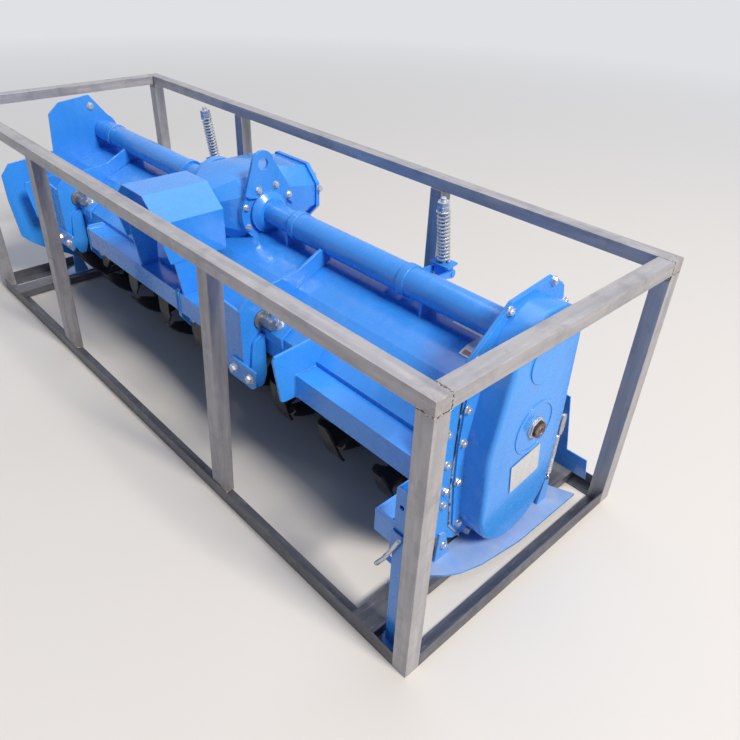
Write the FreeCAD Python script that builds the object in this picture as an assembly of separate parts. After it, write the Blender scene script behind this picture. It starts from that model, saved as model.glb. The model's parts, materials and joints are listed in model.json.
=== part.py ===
"""Rotavator held in its steel transport frame, one STEP file for each piece.

Millimetres. X runs along the rotor towards the gear case, -Y is the tractor side,
Z is up, and the origin is on the floor under the middle of the transport frame.
"""
import FreeCAD, Part
import math
import os

V = FreeCAD.Vector
PARTS = "parts"

# Transport frame
FRAME_L, FRAME_W, FRAME_H = 2868.0, 1000.0, 900.0
POST = 50.0
RAIL_H = 40.0
ANGLE, ANGLE_T = 50.0, 5.0
FRONT_POSTS, FRONT_LEAN = (-605.0, 572.0), 32.0
REAR_POSTS = (-620.0, 580.0)
CROSS_X, CROSS_W, CROSS_TOP, CROSS_T = 1257.0, 86.0, 38.0, 4.0

# Main lines of the machine
MID_X = -80.0
TUBE_Y, TUBE_Z, TUBE_R = 85.0, 722.0, 47.5
NECK_R = 42.0
COLLAR_R, COLLAR_L = 52.0, 26.0
ROTOR_Y, ROTOR_Z = 45.0, 275.0
PLATE_IN, PLATE_T = 1237.0, 8.0
FIT = 0.05
TOUCH_GAP = 0.3

# Gear case
CASE_FACE = 1335.0
FLANGE_T = 6.0
CASE_TOP_Y, CASE_TOP_Z, CASE_TOP_R = 70.0, 705.0, 150.0
CASE_LOW_Y, CASE_LOW_Z, CASE_LOW_R = 58.0, 225.0, 163.0
CASE_KINK_Z, CASE_KINK_FRONT, CASE_KINK_REAR = 455.0, -124.0, 231.0
CASE_EDGE_R = 14.0
CASE_BOSS_R, CASE_BEAD_R, CASE_BEAD_W = 72.0, 88.0, 12.0
PLUG_Y, PLUG_Z, PLUG_R, PLUG_L = 73.0, 476.0, 29.0, 36.0

# Rotor
ROTOR_TUBE_R, DISC_R, DISC_T = 45.0, 88.0, 10.0
DISCS, DISC_PITCH, DISC_START = 9, 257.0, -1088.0
BLADE_R, BLADE_T, BLADE_REACH, BLADE_W = 258.0, 8.0, 100.0, 196.0
SHANK_W, BLADE_SWEEP, BEND = 46.0, 14.0, 22.0
BLADES_PER_DISC, FIRST_TURN = 6, 20.0
DISC_TWIST = 360.0 / BLADES_PER_DISC / DISCS
STUB_R = 30.0
STUB_REACH = 50.0

# Front beam and hitch
BEAM, BEAM_FRONT, BEAM_TOP = 80.0, -290.0, 490.0
END_PLATE_T = 10.0
CHEEK_T, WEB_REACH = 12.0, 190.0
CHEEK_X = {"right": 460.0, "left": -925.0}
CENTRE_BEAM = (-706.0, 40.0)
OUTER_BEAM_IN = {"right": 715.0, "left": 1130.0}
PIN_Y, PIN_Z, PIN_R, PIN_L = -218.0, 540.0, 18.3, 105.0

# Gearbox and input shaft
BOX_HALF_X = 160.0
BOX_REAR, BOX_NOSE = 325.0, -110.0
COVER_T = 16.0
SIDE_FLANGE_R, SIDE_FLANGE_T = 112.0, 12.0
STEP_R, STEP_T = 76.0, 32.0
LUG_T, LUG_TOP, LUG_HOLE_R, LUG_EYE_R = 12.0, 945.0, 21.0, 46.0
LUG_EYE_Y = 66.0
SPLINE_R, JOURNAL_R, INPUT_REACH = 17.46, 25.0, 92.0

# Guard over the input shaft
GUARD_TOP_Z, GUARD_HALF, GUARD_SLOPE_W, GUARD_SLOPE_DROP = 842.0, 70.0, 90.0, 75.0
GUARD_SKIRT, GUARD_T = 148.0, 3.0
GUARD_FRONT, GUARD_REAR = -345.0, -95.0

# Hood and trailing board
HOOD_T, HOOD_TOP = 5.0, 640.0
SADDLES_X = (-950.0, -420.0, 250.0, 900.0)
HINGE_Y, HINGE_Z, HINGE_R = 325.0, 462.0, 8.0
KNUCKLE_T, KNUCKLE_L, KNUCKLE_GAP = 4.0, 70.0, 3.0
KNUCKLES_X = (-1190.0, -800.0, -400.0, 0.0, 400.0, 800.0, 1190.0)
BOARD_T = 4.0
BOARD_HALF = 1228.0
WING_OUT, WING_UP = 1294.0, 50.0
BOARD_FOOT_Y, BOARD_FOOT_Z = 418.0, 130.0
LIP_Y, LIP_Z = 434.0, 78.0

# Spring rods: the swivel pivots on two arms, the lower pin sits in slotted ears
ROD_X = {"right": 724.0, "left": -684.0}
SWIVEL_Y, SWIVEL_Z, SEAT_UP = 355.0, 637.0, 34.0
ROD_R, ROD_ABOVE = 9.0, 268.0
ROD_PIN_Y, ROD_PIN_Z, ROD_PIN_R = 400.0, 322.0, 6.0
SLOT_UP, SLOT_DOWN, SLOT_PLAY = 13.0, 2.0, 1.5
COIL_OUT_R, COIL_L = 23.0, 185.0
ARM_T, ARM_PIN_R, ARM_GAP = 8.0, 8.0, 6.0
BLOCK_X, BLOCK_Y, BLOCK_DOWN = 26.0, 20.0, 14.0
EAR_T, EAR_GAP, EYE_R, EYE_HALF = 6.0, 4.0, 14.0, 12.0

# Tension spring behind the gear case
TENSION_X, TENSION_Y = 1312.0, 262.0
TENSION_PIN_Z, TENSION_PIN_R = 405.0, 6.0
TENSION_EAR_Z, TENSION_EAR_HOLE = 150.0, 6.5
TENSION_WIRE, TENSION_COIL_R = 6.0, 14.0

# Skids and parking leg
SOLE_T, SOLE_IN, SOLE_OUT = 8.0, 1232.0, 1370.0
LEG, LEG_WALL, LEG_TOP = 40.0, 4.0, 580.0
LEG_X, LEG_Y = PLATE_IN + 105, 55 - FRAME_W / 2
FOOT_R, FOOT_T = 36.0, 12.0
SLEEVE_T, SLEEVE_GAP, SLEEVE_LOW, SLEEVE_H, STRAP_T = 5.0, 1.0, 372.0, 74.0, 8.0
LEG_PIN_Z, LEG_PIN_R, LEG_PIN_L = 300.0, 7.0, 62.0


def box(x0, x1, y0, y1, z0, z1):
    """Block between two corners."""
    return Part.makeBox(x1 - x0, y1 - y0, z1 - z0, V(x0, y0, z0))


def rod(radius, start, end):
    """Round bar from one point to another."""
    axis = V(*end) - V(*start)
    return Part.makeCylinder(radius, axis.Length, V(*start), axis)


def side_profile(points, x0, x1):
    """Closed outline in Y and Z, made solid between two X planes."""
    corners = [V(x0, y, z) for y, z in points]
    face = Part.Face(Part.makePolygon(corners + corners[:1]))
    return face.extrude(V(x1 - x0, 0, 0))


def front_profile(points, y0, y1):
    """Closed outline in X and Z, made solid between two Y planes."""
    corners = [V(x, y0, z) for x, z in points]
    face = Part.Face(Part.makePolygon(corners + corners[:1]))
    return face.extrude(V(0, y1 - y0, 0))


def flat_profile(points, z0, z1):
    """Closed outline in X and Y, made solid between two heights."""
    corners = [V(x, y, z0) for x, y in points]
    face = Part.Face(Part.makePolygon(corners + corners[:1]))
    return face.extrude(V(0, 0, z1 - z0))


def folded(points, thickness):
    """Outline of a folded sheet: a line of points given a thickness on its left."""
    inner = []
    for i, (a, b) in enumerate(points):
        before = points[i - 1] if i else None
        after = points[i + 1] if i + 1 < len(points) else None
        normals = []
        for p, q in ((before, (a, b)), ((a, b), after)):
            if p and q:
                run = math.hypot(q[0] - p[0], q[1] - p[1])
                normals.append(((p[1] - q[1]) / run, (q[0] - p[0]) / run))
        nx = sum(n[0] for n in normals) / len(normals)
        ny = sum(n[1] for n in normals) / len(normals)
        scale = thickness / (nx * nx + ny * ny)
        inner.append((a + nx * scale, b + ny * scale))
    return points + inner[::-1]


def fuse(shapes):
    """One solid from pieces that are welded together."""
    shapes = list(shapes)
    whole = shapes[0].multiFuse(shapes[1:]) if len(shapes) > 1 else shapes[0]
    return whole.removeSplitter()


def turned(points, axis_from, axis_dir):
    """Solid of revolution. Points are (distance along the axis, radius)."""
    corners = [V(0, r, d) for d, r in points]
    face = Part.Face(Part.makePolygon(corners + corners[:1]))
    solid = face.revolve(V(0, 0, 0), V(0, 0, 1), 360)
    solid.Placement = FreeCAD.Placement(
        V(*axis_from), FreeCAD.Rotation(V(0, 0, 1), V(*axis_dir)))
    return solid


def mirrored(shape, x=0.0):
    """The same piece on the other side of an X plane."""
    return shape.mirror(V(x, 0, 0), V(1, 0, 0))


def save(name, *shapes):
    shape = shapes[0] if len(shapes) == 1 else Part.makeCompound(list(shapes))
    shape.exportStep(os.path.join(PARTS, name + ".step"))


def transport_frame():
    """Square tube posts and rails on angle iron, with a folded sill under each skid."""
    half_l, half_w = FRAME_L / 2, FRAME_W / 2
    rail_z = FRAME_H - RAIL_H
    front = box(-half_l, half_l, -half_w, -half_w + POST, rail_z, FRAME_H)
    rear = box(-half_l, half_l, half_w - POST, half_w, rail_z, FRAME_H)
    save("frame_long_rails", front, rear)
    ends = [box(x, x + POST, -half_w + POST, half_w - POST, rail_z, FRAME_H)
            for x in (-half_l, half_l - POST)]
    save("frame_end_rails", *ends)
    corners = [box(x, x + POST, y, y + POST, 0, rail_z)
               for x in (-half_l, half_l - POST) for y in (-half_w, half_w - POST)]
    save("frame_corner_posts", *corners)
    h, front_y = POST / 2, -half_w + ANGLE_T
    posts = [front_profile([(x - FRONT_LEAN - h, ANGLE_T), (x - FRONT_LEAN + h, ANGLE_T),
                            (x + FRONT_LEAN + h, rail_z), (x + FRONT_LEAN - h, rail_z)],
                           front_y, front_y + POST) for x in FRONT_POSTS]
    posts += [box(x - h, x + h, half_w - ANGLE_T - POST, half_w - ANGLE_T,
                  ANGLE_T, rail_z) for x in REAR_POSTS]
    save("frame_mid_posts", *posts)

    angle = [(0, 0), (ANGLE, 0), (ANGLE, ANGLE_T), (ANGLE_T, ANGLE_T),
             (ANGLE_T, ANGLE), (0, ANGLE)]
    inner_l, inner_w = half_l - POST, half_w - POST
    long_front = side_profile([(a - half_w, b) for a, b in angle], -inner_l, inner_l)
    long_rear = side_profile([(half_w - a, b) for a, b in angle], -inner_l, inner_l)
    save("frame_long_angles", long_front, long_rear)
    left = front_profile([(a - half_l, b) for a, b in angle], -inner_w, inner_w)
    right = front_profile([(half_l - a, b) for a, b in angle], -inner_w, inner_w)
    save("frame_end_angles", left, right)

    lo, hi = CROSS_X - CROSS_W / 2, CROSS_X + CROSS_W / 2
    sill = [(lo, ANGLE_T), (lo + CROSS_T, ANGLE_T), (lo + CROSS_T, CROSS_TOP - CROSS_T),
            (hi - CROSS_T, CROSS_TOP - CROSS_T), (hi - CROSS_T, ANGLE_T), (hi, ANGLE_T),
            (hi, CROSS_TOP), (lo, CROSS_TOP)]
    reach = half_w - ANGLE_T
    cross = front_profile(sill, -reach, reach)
    save("frame_sills", cross, mirrored(cross))


def beam_tubes():
    """Round beam each side of the gearbox, with a stepped flange, neck and collars."""
    gearbox_side = BOX_HALF_X + SIDE_FLANGE_T
    for name, way, collars in (("right", 1, (190.0, 724.0)), ("left", -1, (190.0, 848.0))):
        start = MID_X + way * gearbox_side
        length = PLATE_IN - way * start
        profile = [(0, 0), (0, STEP_R), (STEP_T * 0.4, STEP_R), (STEP_T, NECK_R + 12),
                   (STEP_T, NECK_R)]
        for at in collars:
            near = at - COLLAR_L / 2
            if at == collars[0]:
                profile += [(near, NECK_R)]
            else:
                profile += [(near, TUBE_R)]
            profile += [(near, COLLAR_R), (near + COLLAR_L, COLLAR_R), (near + COLLAR_L, TUBE_R)]
        profile += [(length, TUBE_R), (length, 0)]
        save("beam_tube_" + name, turned(profile, (start, TUBE_Y, TUBE_Z), (way, 0, 0)))


def octagon(y, half_x, half_z, cut, z_mid):
    """Eight-sided section of the gearbox, normal to the input shaft."""
    points = [(-half_x, -half_z + cut), (-half_x + cut, -half_z), (half_x - cut, -half_z),
              (half_x, -half_z + cut), (half_x, half_z - cut), (half_x - cut, half_z),
              (-half_x + cut, half_z), (-half_x, half_z - cut)]
    corners = [V(MID_X + a, y, z_mid + b) for a, b in points]
    return Part.makePolygon(corners + corners[:1])


def gearbox():
    """Cast bevel gearbox: faceted body, tapered nose, rear cover, side flanges, lug."""
    sections = (
        # y, half width, half height, corner cut
        (BOX_REAR, 150.0, 100.0, 62.0),
        (205.0, BOX_HALF_X, 122.0, 62.0),
        (0.0, BOX_HALF_X, 116.0, 50.0),
        (BOX_NOSE, 72.0, 66.0, 30.0),
    )
    wires = [octagon(y, hx, hz, cut, TUBE_Z) for y, hx, hz, cut in sections]
    body = Part.makeLoft(wires, True, True)
    nose = rod(48.0, (MID_X, BOX_NOSE + 1, TUBE_Z), (MID_X, BOX_NOSE - 22, TUBE_Z))
    discs = [rod(SIDE_FLANGE_R, (MID_X + way * (BOX_HALF_X - 20), TUBE_Y, TUBE_Z),
                 (MID_X + way * (BOX_HALF_X + SIDE_FLANGE_T), TUBE_Y, TUBE_Z))
             for way in (-1, 1)]
    body = fuse([body, nose] + discs)
    bore_end = BOX_NOSE - 22
    bore = rod(JOURNAL_R + FIT, (MID_X, bore_end - 1, TUBE_Z), (MID_X, bore_end + 60, TUBE_Z))
    housing = body.cut(bore)
    save("gearbox_housing", housing)

    cover = Part.Face(octagon(BOX_REAR, 158.0, 108.0, 62.0, TUBE_Z))
    cover = cover.extrude(V(0, COVER_T, 0))
    boss = rod(62.0, (MID_X, BOX_REAR + COVER_T, TUBE_Z), (MID_X, BOX_REAR + COVER_T + 10, TUBE_Z))
    save("gearbox_cover", fuse([cover, boss]))

    x0 = MID_X + BOX_HALF_X + SIDE_FLANGE_T
    eye_z = LUG_TOP - LUG_EYE_R
    bottom = TUBE_Z + 5
    plate = side_profile([(TUBE_Y - 100, eye_z - 95), (TUBE_Y - 100, bottom + 72),
                          (TUBE_Y - 82, bottom + 58), (TUBE_Y + 60, bottom + 40),
                          (TUBE_Y + 108, bottom), (TUBE_Y + 112, bottom + 40),
                          (LUG_EYE_Y + LUG_EYE_R - 2, eye_z + 10),
                          (LUG_EYE_Y - LUG_EYE_R + 2, eye_z + 10)], x0, x0 + LUG_T)
    eye = rod(LUG_EYE_R, (x0, LUG_EYE_Y, eye_z), (x0 + LUG_T, LUG_EYE_Y, eye_z))
    hole = rod(LUG_HOLE_R, (x0 - 1, LUG_EYE_Y, eye_z), (x0 + LUG_T + 1, LUG_EYE_Y, eye_z))
    step = rod(STEP_R + 0.2, (x0 - 1, TUBE_Y, TUBE_Z), (x0 + LUG_T + 1, TUBE_Y, TUBE_Z))
    save("lifting_lug", fuse([plate, eye]).cut(hole).cut(step))
    return housing


def input_shaft():
    """Splined stub towards the tractor, running in the gearbox nose."""
    nose = BOX_NOSE - 22
    inside = 60 - TOUCH_GAP
    profile = [(-inside, 0), (-inside, JOURNAL_R), (4, JOURNAL_R), (4, SPLINE_R + 2),
               (10, SPLINE_R), (INPUT_REACH - 30, SPLINE_R), (INPUT_REACH - 28, SPLINE_R - 2),
               (INPUT_REACH - 22, SPLINE_R - 2), (INPUT_REACH - 20, SPLINE_R),
               (INPUT_REACH - 3, SPLINE_R), (INPUT_REACH, SPLINE_R - 3), (INPUT_REACH, 0)]
    save("input_shaft", turned(profile, (MID_X, nose, TUBE_Z), (0, -1, 0)))


def guard():
    """Folded sheet over the input shaft, carried on two plates from the front beam."""
    low = GUARD_HALF + GUARD_SLOPE_W
    slope_z = GUARD_TOP_Z - GUARD_SLOPE_DROP
    line = [(MID_X - low, slope_z - GUARD_SKIRT), (MID_X - low, slope_z),
            (MID_X - GUARD_HALF, GUARD_TOP_Z), (MID_X + GUARD_HALF, GUARD_TOP_Z),
            (MID_X + low, slope_z), (MID_X + low, slope_z - GUARD_SKIRT)]
    sheet = front_profile(folded(line, -GUARD_T), GUARD_FRONT, GUARD_REAR)
    low_z = slope_z - GUARD_SKIRT
    mouth = side_profile([(GUARD_FRONT - 1, slope_z - 40), (GUARD_FRONT + 27, low_z - 1),
                          (GUARD_FRONT - 1, low_z - 1)], MID_X - low - 1, MID_X + low + 1)
    save("input_guard", sheet.cut(mouth))
    outer = low - GUARD_T
    front, rear = BEAM_FRONT + 6, BEAM_FRONT + BEAM - 6
    outline = [(front, BEAM_TOP), (rear, BEAM_TOP), (rear + 14, low_z + 20), (rear + 14, low_z + 84),
               (front - 22, low_z + 84), (front - 22, low_z + 20)]
    plates = [side_profile(outline, MID_X + way * outer - (8 if way > 0 else 0),
                           MID_X + way * outer + (0 if way > 0 else 8)) for way in (-1, 1)]
    save("guard_plates", *plates)


def lug_plate(x0, x1):
    """Rounded hanging ear at the end of a beam piece."""
    front, rear = BEAM_FRONT, BEAM_FRONT + BEAM
    mid = (front + rear) / 2
    body = side_profile([(front, BEAM_TOP - 6), (front + 8, BEAM_TOP + 10), (rear - 8, BEAM_TOP + 10),
                         (rear, BEAM_TOP - 6), (rear, BEAM_TOP - BEAM - 40), (mid + 22, BEAM_TOP - 150),
                         (mid - 8, BEAM_TOP - 150), (front, BEAM_TOP - BEAM - 20)], x0, x1)
    hole = rod(9.0, (x0 - 1, mid + 8, BEAM_TOP - 125), (x1 + 1, mid + 8, BEAM_TOP - 125))
    return body.cut(hole)


def beam_piece(x0, x1):
    return box(x0, x1, BEAM_FRONT, BEAM_FRONT + BEAM, BEAM_TOP - BEAM, BEAM_TOP)


def hood_outline():
    """Folded hood sheet: inner line from front to rear, then the outer line back."""
    front = BEAM_FRONT + BEAM + HOOD_T
    line = [(front, BEAM_TOP - BEAM), (front, BEAM_TOP + 12), (-70.0, 598.0), (40.0, HOOD_TOP),
            (150.0, HOOD_TOP), (285.0, 545.0), (HINGE_Y - 8, HINGE_Z + 14)]
    return folded(line, HOOD_T)


def hood_seat(y):
    """Front part of the hood's outer line, from the beam up the slope to a given Y."""
    outline = hood_outline()
    (y0, z0), (y1, z1), (y2, z2) = outline[len(outline) // 2:][::-1][1:4]
    if y < y1:
        return [(y, z0 + (z1 - z0) * (y - y0) / (y1 - y0)), (y0, z0)]
    return [(y, z1 + (z2 - z1) * (y - y1) / (y2 - y1)), (y1, z1), (y0, z0)]


def slanted_plate(x0, x1):
    """Wide end plate of the outer beam pieces, seated on the hood."""
    front, rear = BEAM_FRONT, BEAM_FRONT + BEAM
    foot = BEAM_TOP - BEAM
    return side_profile([(front - 55, foot + 5), (front - 78, BEAM_TOP + 75),
                         (front - 70, BEAM_TOP + 92), (-128, BEAM_TOP + 108)]
                        + hood_seat(-122.0) + [(rear, foot), (front - 40, foot)], x0, x1)


def front_beams():
    """Square beam in four pieces between the hitch brackets and the side plates."""
    t = END_PLATE_T
    left, right = CENTRE_BEAM
    centre = [lug_plate(left, left + t), beam_piece(left + t, right - t), lug_plate(right - t, right)]
    save("front_beam_centre", fuse(centre))
    short = [lug_plate(right, right + t), beam_piece(right + t, CHEEK_X["right"] - CHEEK_T)]
    save("front_beam_short", fuse(short))
    for name, way in (("right", 1), ("left", -1)):
        start = OUTER_BEAM_IN[name]
        piece = fuse([slanted_plate(start, start + t), beam_piece(start + t, PLATE_IN)])
        save("front_beam_" + name, piece if way > 0 else mirrored(piece))


def cheek_outline():
    """Hitch cheek: over the front beam, down on the hood, and up to the beam tube."""
    front = BEAM_FRONT - END_PLATE_T
    rear = BEAM_FRONT + BEAM
    return [(front, 345), (front, 590), (front + 14, 612), (front + 50, 640), (-60, 665),
            (TUBE_Y - 52, TUBE_Z - 12), (TUBE_Y - 12, TUBE_Z - TUBE_R + 6),
            (TUBE_Y - 12, TUBE_Z - TUBE_R - 12)] + hood_seat(-30.0) \
        + [(rear, BEAM_TOP - BEAM), (rear - 12, 345), (rear - 26, 322), (front + 24, 322)]


def hitch_bracket(name):
    """Cheek plate with its clamp ear, front web with a foot flange, and the hitch pin."""
    outer = CHEEK_X[name]
    inner = outer - CHEEK_T
    cheek = side_profile(cheek_outline(), inner, outer)
    tube = rod(TUBE_R, (inner - 1, TUBE_Y, TUBE_Z), (outer + 1, TUBE_Y, TUBE_Z))
    pin_hole = rod(PIN_R, (inner - 1, PIN_Y, PIN_Z), (outer + 1, PIN_Y, PIN_Z))
    save("hitch_cheek_" + name, cheek.cut(tube).cut(pin_hole))
    face = BEAM_FRONT - END_PLATE_T
    web = front_profile([(inner - WEB_REACH, 330), (inner, 330), (inner, 590), (inner - WEB_REACH, 600)],
                        face, BEAM_FRONT)
    flange = box(inner - WEB_REACH, inner, BEAM_FRONT, BEAM_FRONT + 62, 330, 342)
    save("hitch_web_" + name, fuse([web, flange]))
    pin = rod(PIN_R, (outer - 60, PIN_Y, PIN_Z), (outer + PIN_L - 45, PIN_Y, PIN_Z))
    boss = rod(PIN_R + 14, (outer, PIN_Y, PIN_Z), (outer + 8, PIN_Y, PIN_Z))
    return fuse([pin, boss])


def hitches():
    save("hitch_pins", *[hitch_bracket(name) for name in CHEEK_X])


PLATE_OUTLINE = [(-300, 500), (-262, 585), (-172, 628), (-155, 745), (-12, 862), (158, 882),
                 (226, 838), (268, 700), (270, 330), (236, 150), (196, 88), (60, 52),
                 (-110, 86), (-215, 160), (-300, 330)]
LEFT_OUTLINE = [(-404, 302), (-421, 480), (-421, 596), (-381, 642), (-172, 664), (-158, 826),
                (-104, 870), (40, 886), (176, 706), (268, 560)] \
    + PLATE_OUTLINE[8:-1] + [(-327, 229), (-375, 269)]
FLANGE_OUTLINE = [(-152, 470), (-140, 700), (-152, 745), (-12, 862), (155, 880), (222, 836),
                  (258, 700), (262, 330), (230, 155), (190, 84), (58, 52), (-70, 84),
                  (-128, 160), (-146, 330)]


def side_plates():
    """Side plates of the rotor housing, bored for the rotor stubs."""
    stub = rod(STUB_R + FIT, (-PLATE_IN - PLATE_T - 1, ROTOR_Y, ROTOR_Z),
               (PLATE_IN + PLATE_T + 1, ROTOR_Y, ROTOR_Z))
    right = side_profile(PLATE_OUTLINE, PLATE_IN, PLATE_IN + PLATE_T).cut(stub)
    save("side_plate_right", right)
    left = side_profile(LEFT_OUTLINE, -PLATE_IN - PLATE_T, -PLATE_IN).cut(stub)
    save("side_plate_left", left)
    profile = [(0, STUB_R + FIT), (0, 92), (14, 92), (26, 58), (STUB_REACH + 8, 54),
               (STUB_REACH + 20, 42), (STUB_REACH + 20, 0), (STUB_REACH, 0),
               (STUB_REACH, STUB_R + FIT)]
    save("rotor_bearing_left",
         turned(profile, (-PLATE_IN - PLATE_T, ROTOR_Y, ROTOR_Z), (-1, 0, 0)))
    cap = turned([(0, 0), (0, 70), (12, 70), (22, 44), (22, 0)],
                 (-PLATE_IN - PLATE_T, TUBE_Y, TUBE_Z), (-1, 0, 0))
    save("beam_cap_left", cap)


def case_outline(x, grow):
    """Outline of the gear case: round top and bottom, widest at the idler gear."""
    top_r, low_r = CASE_TOP_R + grow, CASE_LOW_R + grow
    p = [V(x, CASE_TOP_Y - top_r, CASE_TOP_Z), V(x, CASE_TOP_Y, CASE_TOP_Z + top_r),
         V(x, CASE_TOP_Y + top_r, CASE_TOP_Z), V(x, CASE_KINK_REAR + grow, CASE_KINK_Z),
         V(x, CASE_LOW_Y + low_r, CASE_LOW_Z), V(x, CASE_LOW_Y, CASE_LOW_Z - low_r),
         V(x, CASE_LOW_Y - low_r, CASE_LOW_Z), V(x, CASE_KINK_FRONT - grow, CASE_KINK_Z)]
    edges = [Part.Arc(p[0], p[1], p[2]).toShape(), Part.makeLine(p[2], p[3]),
             Part.makeLine(p[3], p[4]), Part.Arc(p[4], p[5], p[6]).toShape(),
             Part.makeLine(p[6], p[7]), Part.makeLine(p[7], p[0])]
    return Part.Wire(edges)


def gear_case():
    """Pressed pan over the gear train, bolted to the side plate by its rim."""
    back = PLATE_IN + PLATE_T
    rim = side_profile(FLANGE_OUTLINE, back, back + FLANGE_T)
    pan = Part.Face(case_outline(back, 0)).extrude(V(CASE_FACE - back, 0, 0))
    outer = [e for e in pan.Edges if all(abs(v.X - CASE_FACE) < 0.01 for v in e.Vertexes)]
    pan = pan.makeFillet(CASE_EDGE_R, outer)
    boss_y = CASE_TOP_Y - 5
    emboss = rod(CASE_BOSS_R, (CASE_FACE - 1, boss_y, CASE_TOP_Z), (CASE_FACE + 4, boss_y, CASE_TOP_Z))
    ring = rod(CASE_BEAD_R, (CASE_FACE - 1, PLUG_Y, PLUG_Z), (CASE_FACE + 3, PLUG_Y, PLUG_Z))
    ring = ring.cut(rod(CASE_BEAD_R - CASE_BEAD_W, (CASE_FACE - 2, PLUG_Y, PLUG_Z),
                        (CASE_FACE + 4, PLUG_Y, PLUG_Z)))
    bore = rod(STUB_R + FIT, (back - 1, ROTOR_Y, ROTOR_Z),
               (PLATE_IN + STUB_REACH + TOUCH_GAP, ROTOR_Y, ROTOR_Z))
    save("gear_case", fuse([rim, pan, emboss, ring]).cut(bore))
    plug = turned([(0, 0), (0, PLUG_R + 10), (8, PLUG_R + 10), (8, PLUG_R), (PLUG_L, PLUG_R),
                   (PLUG_L, PLUG_R - 8), (PLUG_L - 12, PLUG_R - 12), (PLUG_L - 12, 0)],
                  (CASE_FACE, PLUG_Y, PLUG_Z), (1, 0, 0))
    save("case_plug", plug)


def knuckle(x0, x1):
    """Hinge tube round the bar."""
    ring = rod(HINGE_R + KNUCKLE_T, (x0, HINGE_Y, HINGE_Z), (x1, HINGE_Y, HINGE_Z))
    return ring


def hinge_bore():
    reach = max(PLATE_IN, BOARD_HALF) + 1
    return rod(HINGE_R + FIT, (-reach, HINGE_Y, HINGE_Z), (reach, HINGE_Y, HINGE_Z))


def hood(housing):
    """Folded hood over the rotor, open round the gearbox, with its hinge knuckles."""
    outline = hood_outline()
    sheet = side_profile(outline, -PLATE_IN, PLATE_IN).cut(housing)
    last = len(outline) // 2
    edge = (outline[last - 1], outline[last])
    inward = ((HINGE_Y + 2, HINGE_Z + HINGE_R + 2), (HINGE_Y - 6, HINGE_Z + HINGE_R))
    pieces = [sheet]
    for x in KNUCKLES_X:
        x0, x1 = x - KNUCKLE_L / 2, x + KNUCKLE_L / 2
        pieces.append(knuckle(x0, x1))
        pieces.append(side_profile([edge[0], edge[1], inward[0], inward[1]], x0, x1))
    save("hood", fuse(pieces).cut(hinge_bore()))
    saddles = []
    for x in SADDLES_X:
        block = box(x - 6, x + 6, TUBE_Y - 38, TUBE_Y + 38, HOOD_TOP + HOOD_T, TUBE_Z - 12)
        tube = rod(TUBE_R, (x - 7, TUBE_Y, TUBE_Z), (x + 7, TUBE_Y, TUBE_Z))
        saddles.append(block.cut(tube))
    save("hood_saddles", *saddles)


BOARD_TOP_Y, BOARD_TOP_Z = HINGE_Y + 4, HINGE_Z - HINGE_R


def board_y(z):
    """Outer face of the trailing board at a height above its bent lip."""
    share = (BOARD_TOP_Z - z) / (BOARD_TOP_Z - BOARD_FOOT_Z)
    return BOARD_TOP_Y + share * (BOARD_FOOT_Y - BOARD_TOP_Y)


def board():
    """Trailing board hinged at the hood: sheet, bent lip, knuckles and slotted rod ears."""
    line = [(BOARD_TOP_Y, BOARD_TOP_Z), (BOARD_FOOT_Y, BOARD_FOOT_Z), (LIP_Y, LIP_Z)]
    pieces = [side_profile(folded(line, -BOARD_T), -BOARD_HALF, BOARD_HALF)]
    low_z = BOARD_FOOT_Z + WING_UP
    strip = [(board_y(HINGE_Z - 30), HINGE_Z - 30)] + line[1:]
    pieces.append(side_profile(folded(strip, -BOARD_T), BOARD_HALF, WING_OUT))
    foot = [(board_y(low_z), low_z)] + line[1:]
    pieces.append(side_profile(folded(foot, -BOARD_T), WING_OUT, SOLE_OUT))
    starts = [-BOARD_HALF] + [x + KNUCKLE_L / 2 + KNUCKLE_GAP for x in KNUCKLES_X]
    ends = [x - KNUCKLE_L / 2 - KNUCKLE_GAP for x in KNUCKLES_X] + [BOARD_HALF]
    pieces += [knuckle(x0, x1) for x0, x1 in zip(starts, ends) if x1 - x0 > KNUCKLE_GAP]
    whole = fuse(pieces).cut(hinge_bore())
    for x in KNUCKLES_X:
        half = KNUCKLE_L / 2 + KNUCKLE_GAP
        whole = whole.cut(rod(HINGE_R + KNUCKLE_T + KNUCKLE_GAP,
                              (x - half, HINGE_Y, HINGE_Z), (x + half, HINGE_Y, HINGE_Z)))
    save("trailing_board", whole)
    save("hinge_bar", rod(HINGE_R, (-BOARD_HALF, HINGE_Y, HINGE_Z), (BOARD_HALF, HINGE_Y, HINGE_Z)))

    along = V(0, SWIVEL_Y - ROD_PIN_Y, SWIVEL_Z - ROD_PIN_Z).normalize()
    slot_r = ROD_PIN_R + SLOT_PLAY
    high, low = ROD_PIN_Z + 64, ROD_PIN_Z - 46
    outline = [(board_y(high), high), (ROD_PIN_Y, high - 24), (ROD_PIN_Y + 18, high - 42),
               (ROD_PIN_Y + 18, low + 32), (ROD_PIN_Y, low + 18), (board_y(low), low)]
    ears = []
    for x in ROD_X.values():
        for way in (-1, 1):
            e0, e1 = sorted((x + way * (EYE_HALF + EAR_GAP), x + way * (EYE_HALF + EAR_GAP + EAR_T)))
            ear = side_profile(outline, e0, e1)
            pin = V(e0 - 1, ROD_PIN_Y, ROD_PIN_Z)
            low, high = pin - along * SLOT_DOWN, pin + along * SLOT_UP
            width = EAR_T + 2
            across = V(0, along.z, -along.y) * slot_r
            corners = [low - across, low + across, high + across, high - across]
            middle = Part.Face(Part.makePolygon(corners + corners[:1])).extrude(V(width, 0, 0))
            ends_cut = [Part.makeCylinder(slot_r, width, p, V(1, 0, 0)) for p in (low, high)]
            for tool in [middle] + ends_cut:
                ear = ear.cut(tool)
            ears.append(ear)
    save("board_ears", *ears)


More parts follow.
